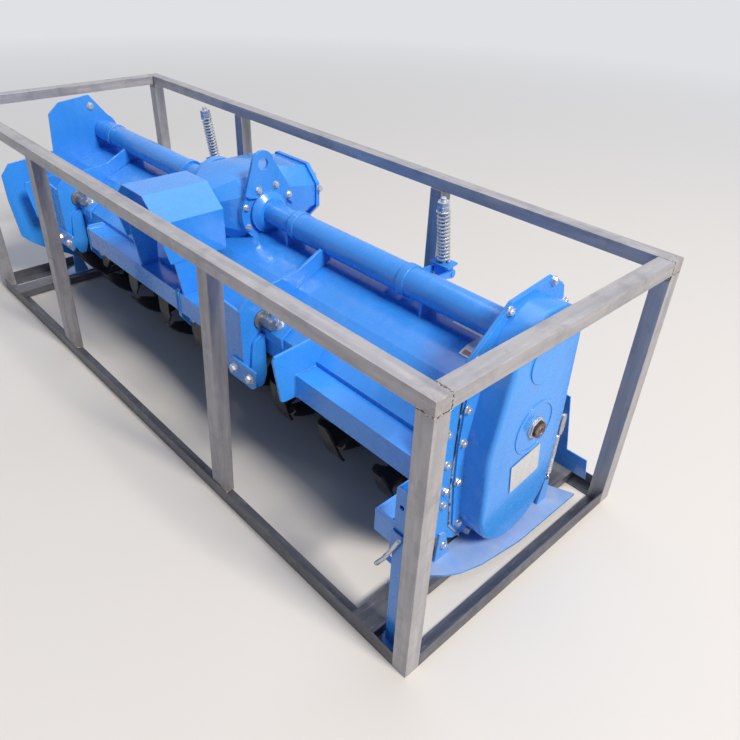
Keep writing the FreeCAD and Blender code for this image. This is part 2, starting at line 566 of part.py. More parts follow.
def hexagon(across_flats, low, height):
    """Nut blank on the Z axis."""
    r = across_flats / math.sqrt(3)
    corners = [V(r * math.cos(math.radians(60 * i)), r * math.sin(math.radians(60 * i)), low)
               for i in range(6)]
    return Part.Face(Part.makePolygon(corners + corners[:1])).extrude(V(0, 0, height))


def spring_rods():
    """Rod with nuts and a coil spring on a trunnion block, between arms of the beam tube."""
    along = V(0, SWIVEL_Y - ROD_PIN_Y, SWIVEL_Z - ROD_PIN_Z)
    reach = along.Length
    turn = FreeCAD.Rotation(V(0, 0, 1), along)
    arms = []
    for name, x in ROD_X.items():
        place = FreeCAD.Placement(V(x, SWIVEL_Y, SWIVEL_Z), turn)

        def put(node, shape):
            shape.Placement = place.multiply(shape.Placement)
            save(node + "_" + name, shape)

        bar = rod(ROD_R, (0, 0, -reach), (0, 0, ROD_ABOVE))
        eye = rod(EYE_R, (-EYE_HALF, 0, -reach), (EYE_HALF, 0, -reach))
        pin_half = EYE_HALF + EAR_GAP + EAR_T + 5
        pin = rod(ROD_PIN_R, (-pin_half, 0, -reach), (pin_half, 0, -reach))
        put("rod", fuse([bar, eye, pin]))
        coil = rod(COIL_OUT_R, (0, 0, SEAT_UP), (0, 0, SEAT_UP + COIL_L))
        put("spring", coil.cut(rod(ROD_R + 1, (0, 0, SEAT_UP - 1), (0, 0, SEAT_UP + COIL_L + 1))))
        top = SEAT_UP + COIL_L
        stack = [rod(COIL_OUT_R + 1, (0, 0, top), (0, 0, top + 4)),
                 hexagon(38.0, top + 4, 17), hexagon(36.0, top + 21, 15)]
        put("nuts", fuse(stack).cut(rod(ROD_R + FIT, (0, 0, top - 1), (0, 0, top + 40))))
        plate = box(-BLOCK_X - 16, BLOCK_X + 16, -BLOCK_Y - 5, BLOCK_Y + 5, SEAT_UP - 6, SEAT_UP)
        block = box(-BLOCK_X, BLOCK_X, -BLOCK_Y, BLOCK_Y, -BLOCK_DOWN, SEAT_UP - 6)
        pin_reach = BLOCK_X + ARM_GAP + ARM_T + 3
        pivot = rod(ARM_PIN_R, (-pin_reach, 0, 0), (pin_reach, 0, 0))
        hole = rod(ROD_R + TOUCH_GAP, (0, 0, -BLOCK_DOWN - 1), (0, 0, SEAT_UP + 1))
        put("swivel", fuse([plate, block, pivot]).cut(hole))
        for way in (-1, 1):
            a0, a1 = sorted((x + way * (BLOCK_X + ARM_GAP), x + way * (BLOCK_X + ARM_GAP + ARM_T)))
            arms.append(arm(a0, a1))
    save("rod_arms", *arms)


def arm(x0, x1):
    """Flat arm welded on the rear of the beam tube, bored at its end for the trunnion."""
    boss = rod(ARM_PIN_R + 8, (x0, SWIVEL_Y, SWIVEL_Z), (x1, SWIVEL_Y, SWIVEL_Z))
    bar = side_profile([(TUBE_Y + 18, TUBE_Z - TUBE_R + 4), (TUBE_Y + 34, TUBE_Z - TUBE_R - 6),
                        (SWIVEL_Y, SWIVEL_Z - ARM_PIN_R - 7), (SWIVEL_Y, SWIVEL_Z + ARM_PIN_R + 3),
                        (SWIVEL_Y - 70, SWIVEL_Z + ARM_PIN_R + 7),
                        (TUBE_Y + 44, TUBE_Z + 14), (TUBE_Y + 30, TUBE_Z + 14)], x0, x1)
    tube = rod(TUBE_R, (x0 - 1, TUBE_Y, TUBE_Z), (x1 + 1, TUBE_Y, TUBE_Z))
    hole = rod(ARM_PIN_R + FIT, (x0 - 1, SWIVEL_Y, SWIVEL_Z), (x1 + 1, SWIVEL_Y, SWIVEL_Z))
    return fuse([boss, bar]).cut(tube).cut(hole)


def tension_spring():
    """Long spring hooked on a pin of the side plate above and on the skid's ear below."""
    back = PLATE_IN + PLATE_T
    pin = rod(TENSION_PIN_R, (back + 2 * FLANGE_T, TENSION_Y, TENSION_PIN_Z),
              (TENSION_X + 10, TENSION_Y, TENSION_PIN_Z))
    head = rod(TENSION_PIN_R + 4, (TENSION_X + 10, TENSION_Y, TENSION_PIN_Z),
               (TENSION_X + 14, TENSION_Y, TENSION_PIN_Z))
    seat = back + FLANGE_T
    lug = box(seat, seat + FLANGE_T, TENSION_Y - 14, TENSION_Y + 6, TENSION_PIN_Z - 16, TENSION_PIN_Z + 16)
    save("tension_pin", fuse([lug, pin, head]))
    x, y, half = TENSION_X, TENSION_Y, TENSION_WIRE / 2
    eye_in = TENSION_PIN_R + TOUCH_GAP
    eye_out = eye_in + TENSION_WIRE
    top_eye = rod(eye_out, (x - half, y, TENSION_PIN_Z), (x + half, y, TENSION_PIN_Z))
    top_eye = top_eye.cut(rod(eye_in, (x - half - 1, y, TENSION_PIN_Z), (x + half + 1, y, TENSION_PIN_Z)))
    low_z = TENSION_EAR_Z + eye_in
    low_eye = rod(eye_out, (x, y - half, low_z), (x, y + half, low_z))
    low_eye = low_eye.cut(rod(eye_in, (x, y - half - 1, low_z), (x, y + half + 1, low_z)))
    coil_low, coil_high = low_z + eye_out + 8, TENSION_PIN_Z - eye_out - 8
    tails = [rod(half * 0.8, (x, y, z0), (x, y, z1))
             for z0, z1 in ((low_z + eye_in + 1, coil_low + 2), (coil_high - 2, TENSION_PIN_Z - eye_in - 1))]
    coil = rod(TENSION_COIL_R, (x, y, coil_low), (x, y, coil_high))
    save("tension_spring", fuse([top_eye, low_eye, coil] + tails))


def skids():
    """Skid soles with a curved nose, front tab and rear ear."""
    top = CROSS_TOP + SOLE_T
    sole = flat_profile([(SOLE_IN, -232), (SOLE_IN + 36, -246), (1304, -205), (1328, -163),
                         (1350, -90), (SOLE_OUT, 70), (SOLE_OUT, 378), (SOLE_IN + 52, 344),
                         (SOLE_IN, 330)], CROSS_TOP, top)
    back = PLATE_IN + PLATE_T
    tab = side_profile([(-195, top), (-128, top), (-160, 150), (-185, 158)], back, back + 8)
    ear_top = TENSION_EAR_Z + 10
    ear = side_profile([(TENSION_Y - 26, top), (TENSION_Y + 22, top), (TENSION_Y + 20, 120),
                        (TENSION_Y + 8, ear_top), (TENSION_Y - 8, ear_top)],
                       TENSION_X - 4, TENSION_X + 4)
    ear = ear.cut(rod(TENSION_EAR_HOLE, (TENSION_X - 5, TENSION_Y, TENSION_EAR_Z),
                      (TENSION_X + 5, TENSION_Y, TENSION_EAR_Z)))
    right = fuse([sole, tab, ear])
    save("skid_right", right)
    save("skid_left", mirrored(right))


def parking_leg():
    """Square leg that slides in a sleeve at the front corner, with its pin."""
    x, h = LEG_X, LEG / 2
    bottom = ANGLE_T + FOOT_T
    tube = box(x - h, x + h, LEG_Y - h, LEG_Y + h, bottom, LEG_TOP)
    i = h - LEG_WALL
    tube = tube.cut(box(x - i, x + i, LEG_Y - i, LEG_Y + i, bottom + 6, LEG_TOP + 1))
    foot = rod(FOOT_R, (x, LEG_Y, ANGLE_T), (x, LEG_Y, bottom))
    pin = rod(LEG_PIN_R, (x + h, LEG_Y, LEG_PIN_Z), (x - LEG_PIN_L, LEG_Y, LEG_PIN_Z))
    save("parking_leg", fuse([tube, foot, pin]))
    g = h + SLEEVE_GAP
    o = g + SLEEVE_T
    low, high = SLEEVE_LOW, SLEEVE_LOW + SLEEVE_H
    sleeve = box(x - o, x + o, LEG_Y - o, LEG_Y + o, low, high)
    sleeve = sleeve.cut(box(x - g, x + g, LEG_Y - g, LEG_Y + g, low - 1, high + 1))
    face = PLATE_IN + PLATE_T
    strap = box(face, face + STRAP_T, LEG_Y - STRAP_T, -240, low, high)
    link = box(face + STRAP_T, x - o, LEG_Y - STRAP_T, LEG_Y, low, high)
    save("leg_sleeve", fuse([sleeve, strap, link]))


def rotor():
    """Tube with stubs, and on it the discs with L-shaped blades bent to both sides."""
    back = PLATE_IN - 6
    end = PLATE_IN + STUB_REACH
    profile = [(-end, 0), (-end, STUB_R), (-back, STUB_R), (-back, ROTOR_TUBE_R),
               (back, ROTOR_TUBE_R), (back, STUB_R), (end, STUB_R), (end, 0)]
    save("rotor_shaft", turned(profile, (0, ROTOR_Y, ROTOR_Z), (1, 0, 0)))

    blade = rotor_blade()
    other = blade.mirror(V(0, 0, 0), V(1, 0, 0))
    half = DISC_T / 2
    disc = rod(DISC_R, (-half, 0, 0), (half, 0, 0))
    step = 360.0 / BLADES_PER_DISC
    star = [disc]
    for k in range(BLADES_PER_DISC):
        copy = (blade if k % 2 else other).copy()
        copy.rotate(V(0, 0, 0), V(1, 0, 0), k * step)
        star.append(copy)
    star = fuse(star).cut(rod(ROTOR_TUBE_R + FIT, (-half - 1, 0, 0), (half + 1, 0, 0)))
    stars = []
    for i in range(DISCS):
        copy = star.copy()
        x = DISC_START + i * DISC_PITCH
        turn = FreeCAD.Rotation(V(1, 0, 0), FIRST_TURN + i * DISC_TWIST)
        copy.Placement = FreeCAD.Placement(V(x, ROTOR_Y, ROTOR_Z), turn)
        stars.append(copy)
    save("rotor_blades", *stars)


def swept(radius, degrees):
    """Y and Z of a point at an angle behind +Z, on a circle about the rotor."""
    angle = math.radians(degrees)
    return radius * math.sin(angle), radius * math.cos(angle)


def rotor_blade():
    """Blade along +Z from the disc: a swept shank, and a knife bent out along the tip circle."""
    x0, t, tip = DISC_T / 2, BLADE_T, DISC_T / 2 + BLADE_REACH
    root, h, w = ROTOR_TUBE_R + 12, SHANK_W / 2, BLADE_W / 2
    spread = math.degrees(math.asin(w / BLADE_R))
    lead, trail = BLADE_SWEEP - spread, BLADE_SWEEP + spread
    line = [(x0, root - 10), (x0, BLADE_R - BEND), (x0 + 0.3 * BEND, BLADE_R - 0.3 * BEND),
            (x0 + BEND, BLADE_R), (tip, BLADE_R)]
    corners = [V(x, 0, z) for x, z in folded(line, -t)]
    section = Part.Face(Part.makePolygon(corners + corners[:1]))
    section.rotate(V(0, 0, 0), V(1, 0, 0), -trail)
    bent = section.revolve(V(0, 0, 0), V(1, 0, 0), trail - lead)
    over = BLADE_R + 60
    outline = [(-h, root), (h, root), (h + 6, 0.45 * BLADE_R), swept(0.74 * BLADE_R, trail * 0.55),
               swept(0.88 * BLADE_R, trail * 0.96), swept(over, trail * 0.98), swept(over, lead * 0.9),
               swept(0.84 * BLADE_R, lead * 0.9), (-h - 4, 0.5 * BLADE_R)]
    blade = bent.common(side_profile(outline, x0 - 1, tip + 1))
    trims = ([(tip - 0.55 * BLADE_REACH, -w - 9), (tip + 1, -w - 9), (tip + 1, -0.45 * w)],
             [(tip + 1, 0.25 * w), (tip + 1, w + 9), (tip - 0.7 * BLADE_REACH, w + 9),
              (tip - 0.3 * BLADE_REACH, 0.8 * w)])
    for trim in trims:
        tool = flat_profile(trim, 0.6 * BLADE_R, over)
        tool.rotate(V(0, 0, 0), V(1, 0, 0), -BLADE_SWEEP)
        blade = blade.cut(tool)
    return blade


def main():
    os.makedirs(PARTS, exist_ok=True)
    transport_frame()
    beam_tubes()
    housing = gearbox()
    input_shaft()
    guard()
    front_beams()
    hitches()
    side_plates()
    gear_case()
    hood(housing)
    board()
    spring_rods()
    tension_spring()
    skids()
    parking_leg()
    rotor()


main()
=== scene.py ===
"""Looks of the rotavator in its transport frame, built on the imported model.

Lengths are metres in the frame of the model: X runs along the rotor towards the gear
case, -Y is the tractor side and Z is up.
"""
import json
import math

import bmesh
import bpy
from mathutils import Matrix, Vector


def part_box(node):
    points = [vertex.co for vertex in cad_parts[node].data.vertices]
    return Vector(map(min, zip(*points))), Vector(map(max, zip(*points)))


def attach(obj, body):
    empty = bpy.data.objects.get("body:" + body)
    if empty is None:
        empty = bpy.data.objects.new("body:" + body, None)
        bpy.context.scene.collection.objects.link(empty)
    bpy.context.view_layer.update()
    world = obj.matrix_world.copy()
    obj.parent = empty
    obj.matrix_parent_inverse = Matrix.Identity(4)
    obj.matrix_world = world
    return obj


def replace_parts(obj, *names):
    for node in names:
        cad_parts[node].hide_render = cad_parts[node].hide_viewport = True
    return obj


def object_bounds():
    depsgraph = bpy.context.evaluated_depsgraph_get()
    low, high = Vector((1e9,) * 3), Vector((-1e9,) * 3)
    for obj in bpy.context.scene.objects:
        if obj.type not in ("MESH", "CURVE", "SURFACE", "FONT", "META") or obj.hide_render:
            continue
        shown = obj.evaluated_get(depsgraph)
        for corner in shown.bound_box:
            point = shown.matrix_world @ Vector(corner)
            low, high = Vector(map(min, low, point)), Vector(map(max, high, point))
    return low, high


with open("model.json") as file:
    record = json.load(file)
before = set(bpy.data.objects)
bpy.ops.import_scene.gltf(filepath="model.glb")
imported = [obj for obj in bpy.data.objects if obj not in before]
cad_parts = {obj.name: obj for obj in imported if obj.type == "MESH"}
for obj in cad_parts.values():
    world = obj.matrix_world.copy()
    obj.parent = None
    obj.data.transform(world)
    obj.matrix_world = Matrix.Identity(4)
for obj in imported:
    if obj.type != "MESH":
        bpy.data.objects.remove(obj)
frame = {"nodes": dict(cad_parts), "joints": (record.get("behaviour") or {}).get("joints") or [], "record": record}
cad_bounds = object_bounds()
NODES = frame["nodes"]
BODY_OF = {node: body for body, names in frame["record"]["behaviour"]["bodies"].items() for node in names}
SLOT_OF = {part["node"]: part["material_slot"] for part in frame["record"]["subparts"]}
JOINT = {joint["name"]: joint for joint in frame["joints"]}
REPLACED = {"spring_right", "spring_left", "tension_spring", "input_shaft", "case_plug"}

# Main lines of the machine and of the transport frame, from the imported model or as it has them
ROTOR_AXIS = tuple(JOINT["rotor_spin"]["pos_m"][1:])
GEARBOX_X, INPUT_NOSE, GEARBOX_Z = JOINT["input_spin"]["pos_m"]
TUBE_AXIS, TUBE_R = (0.085, GEARBOX_Z), 0.0475
BEAM_Y, BEAM_Z = (-0.290, -0.210), (0.410, 0.490)
CHEEK_SHIFT = -1.385  # from the right hitch cheek to the left one
FRAME_X, FRAME_Y = (round(edge, 6) for edge in cad_bounds[1][:2])
RAIL_LOW, RAIL_TOP, POST = 0.860, 0.9, 0.050
HEAT_START, HEAT_FULL = 0.062, 0.034  # browning by the corner welds, measured in from the outer faces

# Springs: those on the rods, and the tension spring with its flat shackle behind the gear case
ROD_FOOT_Y, ROD_FOOT_Z = 0.400, 0.322
SPRING_SEAT, SPRING_LENGTH = 0.034, 0.185
SPRING_RADIUS, SPRING_WIRE, SPRING_TURNS = 0.0183, 0.0044, 13.5
TENSION_RADIUS, TENSION_WIRE, TENSION_HOOK = 0.0092, 0.0024, 0.0093
TENSION_FOOT, TENSION_HEAD, TENSION_PITCH = 0.030, 0.092, 1.12
SHACKLE_HALF, SHACKLE_T = 0.0132, 0.0035

# Rotor: nine discs with six blades each, every disc turned on a little from the last
DISCS, DISC_PITCH, DISC_START = 9, 0.257, -1.088
BLADES_PER_DISC, FIRST_TURN = 6, 20.0
BLADE_BOLT_R, BLADE_BOLT_SIDE, BLADE_HEAD, BLADE_NUT = 0.074, 0.012, 0.013, 0.005

# Bolts, as (Y, Z) on the end faces or (X, Z) about the gearbox's middle
RIM_BOLTS = ((-0.137, 0.592), (-0.137, 0.480), (-0.137, 0.339), (-0.104, 0.153), (-0.02, 0.842),
             (0.161, 0.868), (-0.128, 0.742), (0.236, 0.78), (0.255, 0.6), (0.255, 0.42),
             (0.24, 0.26), (0.2, 0.12), (0.06, 0.058), (-0.05, 0.082))
STRIP_BOLTS = ((-0.201, 0.542), (-0.187, 0.427), (-0.180, 0.326), (-0.181, 0.272))
TAB_BOLT = (-0.163, 0.1)
GUARD_BOLTS = ((-0.27, 0.672), (-0.225, 0.672))
COVER_BOLTS = ((-0.14, 0), (0.14, 0), (-0.12, 0.068), (0.12, 0.068), (-0.12, -0.068), (0.12, -0.068),
               (-0.045, 0.095), (0.045, 0.095), (-0.045, -0.095), (0.045, -0.095))
LUG_HOLE, LUG_FACES = (-0.242, 0.365), ((-0.706, -0.696), (0.030, 0.050))
LEFT_PLATE_BOLT = (-1.20, 0.038, 0.836)
# Circles of bolts as radius, count and first angle
BEARING_BOLTS, CAP_BOLTS, FLANGE_BOLTS = (0.078, 6, 30), (0.058, 6, 0), (0.098, 8, 27)
OUTSIDE_X, FLANGE_X, GUARD_X, COVER_Y = 1.26, (-0.25, 0.09), (-0.24, 0.08), 0.34
SIDE_PLUG_Z = 0.745

# Welds: collars as start of the tube, way along X and places from the start; where the front beam
# meets plates; the hood's saddles; middle posts as X, side and how far the post leans along X
COLLARS = ((0.092, 1, (0.190, 0.724)), (-0.252, -1, (0.190, 0.848)))
COLLAR_HALF = 0.013
PLATE_FACE_X, BEAM_BUTTS = 1.237, (0.725, -1.130, -0.696, 0.030, 0.050)
CHEEK_WELD_Z, CHEEK_ARC = (0.335, 0.59), (195, 290, 16)  # an arc is first angle, last angle, steps
SADDLES, SADDLE_HALF = (-0.95, -0.42, 0.25, 0.9), 0.006
SADDLE_Y, SADDLE_Z, SADDLE_ARC = (0.05, 0.12), 0.645, (222, 318, 14)
FLANGE_WELD_X, FLANGE_WELD_R = 0.104, 0.0765
MID_POSTS = ((-0.605, -1, 0.032), (0.572, -1, 0.032), (-0.62, 1, 0), (0.58, 1, 0))
ON_ANGLE, FOOT_WELD_Z = 0.006, (0.005, 0.047)  # welds on a base angle, in from its outer faces

# Splined stub, 1 3/8 inch with six teeth
SPLINE_R, SPLINE_ROOT, SPLINE_TEETH = 0.01746, 0.0149, 6
JOURNAL_R, GROOVE = 0.025, 0.0022

# Hitch: clamp plate outside each cheek, ear on the hood's slope, foot across the cheek's front edge
CLAMP = ((-0.284, 0.345), (-0.264, 0.292), (-0.236, 0.290), (-0.2195, 0.336), (-0.2195, 0.498),
         (-0.266, 0.472))
SLOPE_FOOT, SLOPE_HEAD = Vector((0, -0.2105, 0.5043)), Vector((0, -0.138, 0.5558))
EAR_REACH, EAR_T, EAR_LOW, EAR_NUT = 0.104, 0.009, 0.474, (0.052, 0.36)
CHEEK_FACE, CHEEK_FRONT, CHEEK_T, CLAMP_T = 0.460, -0.300, 0.012, 0.014
FOOT_X, FOOT_Z, FOOT_SLANT, FOOT_T = (0.378, 0.536), (0.326, 0.404), 0.022, 0.009
FOOT_BOLT_X, FOOT_BOLT_Z = (0.417, 0.507), 0.368

# Plates, plug, sealant and leg
PLATE_LEAN, PLATE_LIFT, PLATE_T = math.radians(9), 0.002, 0.0012
PLATE_AT, PLATE_SIZE = Vector((1.3352, 0.064, 0.3285)), (0.134, 0.108)
PLUG_Y, PLUG_Z, PLUG_RIBS, RIB_PITCH, RIB_START = 0.073, 0.476, 4, 0.0024, 0.0112
HOOD_LEVEL, HOOD_SLOPE = (0, 1, 0), (0, 0.934, 0.357)
VINYL = (  # piece, material, colour, thickness, and each plate's centre, upward direction and size
    ("hood_labels", "white_vinyl", "#efeeea", 0.0004,
     (((1.1225, 0.0200, 0.6382), HOOD_SLOPE, (0.055, 0.0390)),
      ((1.1225, 0.0805, 0.6451), HOOD_LEVEL, (0.055, 0.0850)),
      ((1.0400, 0.1110, 0.6451), HOOD_LEVEL, (0.112, 0.0240)))),
    ("hood_label_blocks", "red_brown_vinyl", "#a5584c", 0.0002,
     (((1.1230, 0.0135, 0.6361), HOOD_SLOPE, (0.042, 0.0165)),
      ((1.0400, 0.1175, 0.6455), HOOD_LEVEL, (0.106, 0.0070)))),
)
SEAL_X = 1.2462
SEAL_LINE = ((-0.150, 0.700), (-0.158, 0.612), (-0.160, 0.481), (-0.158, 0.339), (-0.141, 0.160),
             (-0.080, 0.076))
LEG_PIN, LEG_EDGE, LEG_HALF, LEG_HOLE_Z, LEG_HOLE_R = (-0.445, 0.300), 0.006, 0.056, 0.529, 0.0075

# Camera of the photograph and the studio round it
CAM_AZIMUTH, CAM_ELEVATION, CAM_ROLL = math.radians(45.46), math.radians(34.38), math.radians(2.455)
CAM_PLACE = (2.06207, -1.29423, 1.65437)
IMAGE_SIDE, FOCAL_PIXELS, SENSOR = 740.0, 677.135, 36.0
LAMPS = (  # name, place, what it looks at, size, watts, colour
    ("key", (11.5, 0.2, 11.5), (0, 0, 0.4), 4.0, 2850.0, "#fff7ec"),
    ("sky", (-1.0, 3.0, 12.0), (0, 0, 0.5), 10.0, 680.0, "#f2f6ff"),
    ("fill", (-1.0, -10.0, 5.0), (0, 0, 0.4), 8.0, 55.0, "#a9c2ff"),
)
BACKDROP = "#dfe1e4"
FLOOR_HALF, FLOOR_GAP, FLOOR_FADE = 60.0, 0.0005, (2.2, 9.0)


# Materials

def linear(code):
    """Scene-linear colour of an sRGB hex code."""
    parts = [int(code[i:i + 2], 16) / 255 for i in (1, 3, 5)]
    return [c / 12.92 if c <= 0.04045 else ((c + 0.055) / 1.055) ** 2.4 for c in parts] + [1.0]


def join(tree, socket, value):
    """Links an output to a socket, or writes a plain value there."""
    if isinstance(value, bpy.types.NodeSocket):
        tree.links.new(value, socket)
    else:
        socket.default_value = value


def add_node(tree, kind, sockets, out=0, **settings):
    """Adds one shader node with its settings and links, and gives the output asked for."""
    node = tree.nodes.new("ShaderNode" + kind)
    for key, value in settings.items():
        setattr(node, key, value)
    for key, value in sockets.items():
        join(tree, node.inputs[key], value)
    return node.outputs[out]


class Finish:
    """A material that is laid on in layers, each over the colour so far."""

    def __init__(self, name, base):
        self.material = bpy.data.materials.new(name)
        self.material.use_nodes = True
        self.tree = self.material.node_tree
        self.surface = self.tree.nodes["Principled BSDF"]
        self.colour = linear(base)

    def add(self, kind, sockets, out=0, **settings):
        """A node of this material."""
        return add_node(self.tree, kind, sockets, out, **settings)

    def grain(self, size, detail=4.0, stretch=(1, 1, 1), rough=0.55):
        """Uneven field from 0 to 1 with spots about size millimetres across, drawn out along an axis."""
        place = self.add("TexCoord", {}, "Object")
        mapped = self.add("Mapping", {"Vector": place, "Scale": [s * 1000 / size for s in stretch]})
        return self.add("TexNoise", {"Vector": mapped, "Scale": 1.0, "Detail": detail, "Roughness": rough})

    def spots(self, low, high, size, detail=4.0, **look):
        """Spots about size millimetres across: 0 where the grain is under low, 1 over high."""
        return self.add("MapRange", {0: self.grain(size, detail, **look), 1: low, 2: high})

    def uneven(self, least, most, size, detail):
        """Value that wanders from least to most over about size millimetres."""
        return self.add("MapRange", {0: self.grain(size, detail), 1: 0.3, 2: 0.7, 3: least, 4: most})

    def on_top(self, start, full):
        """0 on walls and 1 on faces that look up, between two heights of the surface's normal."""
        height = self.add("SeparateXYZ", {0: self.add("NewGeometry", {}, "Normal")}, "Z")
        return self.add("MapRange", {0: height, 1: start, 2: full})

    def from_middle(self, axis):
        """Distance from the middle of the machine along an axis."""
        along = self.add("SeparateXYZ", {0: self.add("TexCoord", {}, "Object")}, axis)
        return self.add("Math", {0: along}, operation="ABSOLUTE")

    def beyond(self, axis, start, full):
        """0 to 1 as the distance from the middle along an axis passes from start to full."""
        return self.add("MapRange", {0: self.from_middle(axis), 1: start, 2: full})

    def seam(self, axis, at, half):
        """1 on an uneven line at one distance from the middle along an axis, half as wide each way."""
        off = self.add("Math", {0: self.from_middle(axis), 1: at}, operation="SUBTRACT")
        stray = self.uneven(-half * 0.7, half * 0.7, 9, 5.0)
        off = self.add("Math", {0: off, 1: stray}, operation="ADD")
        off = self.add("Math", {0: off}, operation="ABSOLUTE")
        return self.add("MapRange", {0: off, 1: half, 2: half * 0.35})

    def where_all(self, *shares):
        """The share that is left where several shares hold at once."""
        share = shares[0]
        for other in shares[1:]:
            share = self.add("Math", {0: share, 1: other}, operation="MULTIPLY")
        return share

    def cover(self, colour, *shares):
        """Lays a hex colour, or the colour of a node, over what is there where all the shares hold."""
        share = self.where_all(*shares)
        top = linear(colour) if isinstance(colour, str) else colour
        self.colour = self.add("Mix", {0: share, 6: self.colour, 7: top}, 2, data_type="RGBA")
        return share

    def bump(self, *heights):
        """Relief from (field, depth in millimetres) pairs, one over the other."""
        below = {}
        for height, depth in heights:
            sockets = {"Height": height, "Distance": depth / 1000, "Strength": 1.0, **below}
            below = {"Normal": self.add("Bump", sockets, "Normal")}
        join(self.tree, self.surface.inputs["Normal"], below["Normal"])

    def done(self, roughness, metallic=0.0, **fixed):
        """The material, once its colour, gloss and plain sockets are set."""
        sockets = {"Base Color": self.colour, "Roughness": roughness, "Metallic": metallic}
        sockets.update({key.replace("_", " "): value for key, value in fixed.items()})
        for key, value in sockets.items():
            join(self.tree, self.surface.inputs[key], value)
        return self.material


def blue_enamel(name="blue_enamel", base="#3992ea", deep="#2f87e0", dusty=0.05, patches=(0.45, 0.72)):
    """Sprayed gloss enamel: slightly cloudy blue, orange peel, and yard dust on top faces.

    Real orange peel is about 1 mm across, and is drawn 2 mm so that it shows.
    """
    s = Finish(name, deep)
    s.cover(base, s.spots(0.35, 0.65, 400))
    s.cover("#58a6ee", s.spots(0.5, 0.8, 30, stretch=(1, 1, 0.15)), 0.18)
    dust = s.cover("#cfcac6", s.on_top(0.2, 0.95), s.spots(*patches, 90, 9.0, rough=0.7), dusty)
    s.cover("#b7b4ac", s.spots(0.72, 0.78, 5, 2.0), 0.3)
    gloss = s.uneven(0.22, 0.33, 30, 3.0)
    roughness = s.add("Math", {0: gloss, 1: s.where_all(dust, 0.8)}, operation="ADD")
    s.bump((s.grain(2.2, 2.0), 0.05), (s.grain(60, 3.0), 0.5))
    return s.done(roughness, Coat_Weight=0.35, Coat_Roughness=0.12, Specular_IOR_Level=0.4)


def bare_steel(name, along, light="#bcbabb", dark="#94939a"):
    """Unpainted rolled steel: blue-grey scale drawn out along the bar, rust bloom and scuffs.

    The direction along is 0, 1 or 2 for X, Y or Z. At the corners of the transport frame the
    steel is browned by welding, and dark slag marks the joints of rails and post.
    Scale and roll marks are fractions of a millimetre wide, and are drawn 4 to 20 mm to show.
    """
    s = Finish(name, dark)
    stretch = [0.08 if axis == along else 1.0 for axis in range(3)]
    s.cover(light, s.spots(0.2, 0.8, 20, 3.0, stretch=stretch))
    s.cover("#7b7d85", s.spots(0.5, 0.7, 70, 7.0, rough=0.6), 0.5)
    s.cover("#8f7562", s.spots(0.6, 0.76, 45, 9.0, rough=0.7), 0.55)
    s.cover("#dcdcdd", s.spots(0.62, 0.75, 6, 3.0, stretch=stretch), 0.3)
    s.cover("#805a45", s.beyond(0, FRAME_X - HEAT_START, FRAME_X - HEAT_FULL),
            s.beyond(1, FRAME_Y - HEAT_START, FRAME_Y - HEAT_FULL),
            s.beyond(2, RAIL_LOW - 0.020, RAIL_LOW + 0.012), s.spots(0.42, 0.62, 12, 8.0, rough=0.7), 0.28)
    end_x = s.beyond(0, FRAME_X - POST - 0.002, FRAME_X - POST)
    end_y = s.beyond(1, FRAME_Y - POST - 0.004, FRAME_Y - POST - 0.001)
    upright = s.where_all(end_x, s.seam(1, FRAME_Y - POST, 0.0032))
    level = s.where_all(end_x, end_y, s.seam(2, RAIL_LOW, 0.0032))
    joint = s.add("Math", {0: upright, 1: level}, operation="MAXIMUM")
    slag = s.add("Mix", {0: s.spots(0.5, 0.6, 6), 6: linear("#3a2c22"), 7: linear("#cfc9bf")}, 2,
                 data_type="RGBA")
    s.cover(slag, joint, s.beyond(2, RAIL_LOW - 0.025, RAIL_LOW - 0.010))
    s.bump((s.grain(4, 4.0, stretch), 0.06), (s.grain(50, 2.0), 0.3))
    return s.done(s.uneven(0.34, 0.52, 20, 4.0), 0.45)


def zinc_plate(name="bright_zinc", tint="#c9cdd2", shade="#b3bdcb", rough=0.2):
    """Bright zinc plating: silvery with a faint blue and straw bloom and a fine grain of 1.5 mm."""
    s = Finish(name, tint)
    s.cover(shade, s.spots(0.4, 0.65, 30, 3.0))
    s.cover("#cfc4a4", s.spots(0.55, 0.7, 12, 5.0), 0.4)
    s.bump((s.grain(1.5, 2.0), 0.03))
    return s.done(s.uneven(rough, rough + 0.16, 6, 3.0), 0.7)


def black_dip():
    """Black dip paint on forged blades: satin, with soil-polished and dusty patches."""
    s = Finish("black_dip_paint", "#15161a")
    s.cover("#4a4541", s.spots(0.58, 0.72, 50, 8.0, rough=0.7), 0.5)
    s.cover("#7d7265", s.on_top(0.1, 0.8), s.spots(0.4, 0.7, 30, 6.0), 0.35)
    s.bump((s.grain(3, 3.0), 0.15), (s.grain(30, 3.0), 0.6))
    return s.done(s.uneven(0.32, 0.5, 20, 4.0), Coat_Weight=0.2, Coat_Roughness=0.25)


def machined_steel():
    """Oiled turned steel: a darker film in places, and tool rings along the shaft.

    A tool leaves rings about 0.2 mm apart, and they are drawn 1.2 mm apart to show.
    """
    s = Finish("oiled_machined_steel", "#8e8d8a")
    film = s.cover("#5f5a50", s.spots(0.4, 0.7, 20, 5.0))
    s.bump((s.grain(1.2, 2.0, (0.05, 1.0, 0.05)), 0.05))
    return s.done(s.add("MapRange", {0: film, 3: 0.22, 4: 0.4}), 1.0)


def browned_steel():
    """Browned plug: grey-brown oxide with darker pits."""
    s = Finish("browned_plug_steel", "#84716a")
    pits = s.cover("#4e3d37", s.spots(0.4, 0.65, 12, 6.0))
    s.bump((s.grain(2, 3.0), 0.1))
    return s.done(s.add("MapRange", {0: pits, 3: 0.4, 4: 0.6}), 0.45)


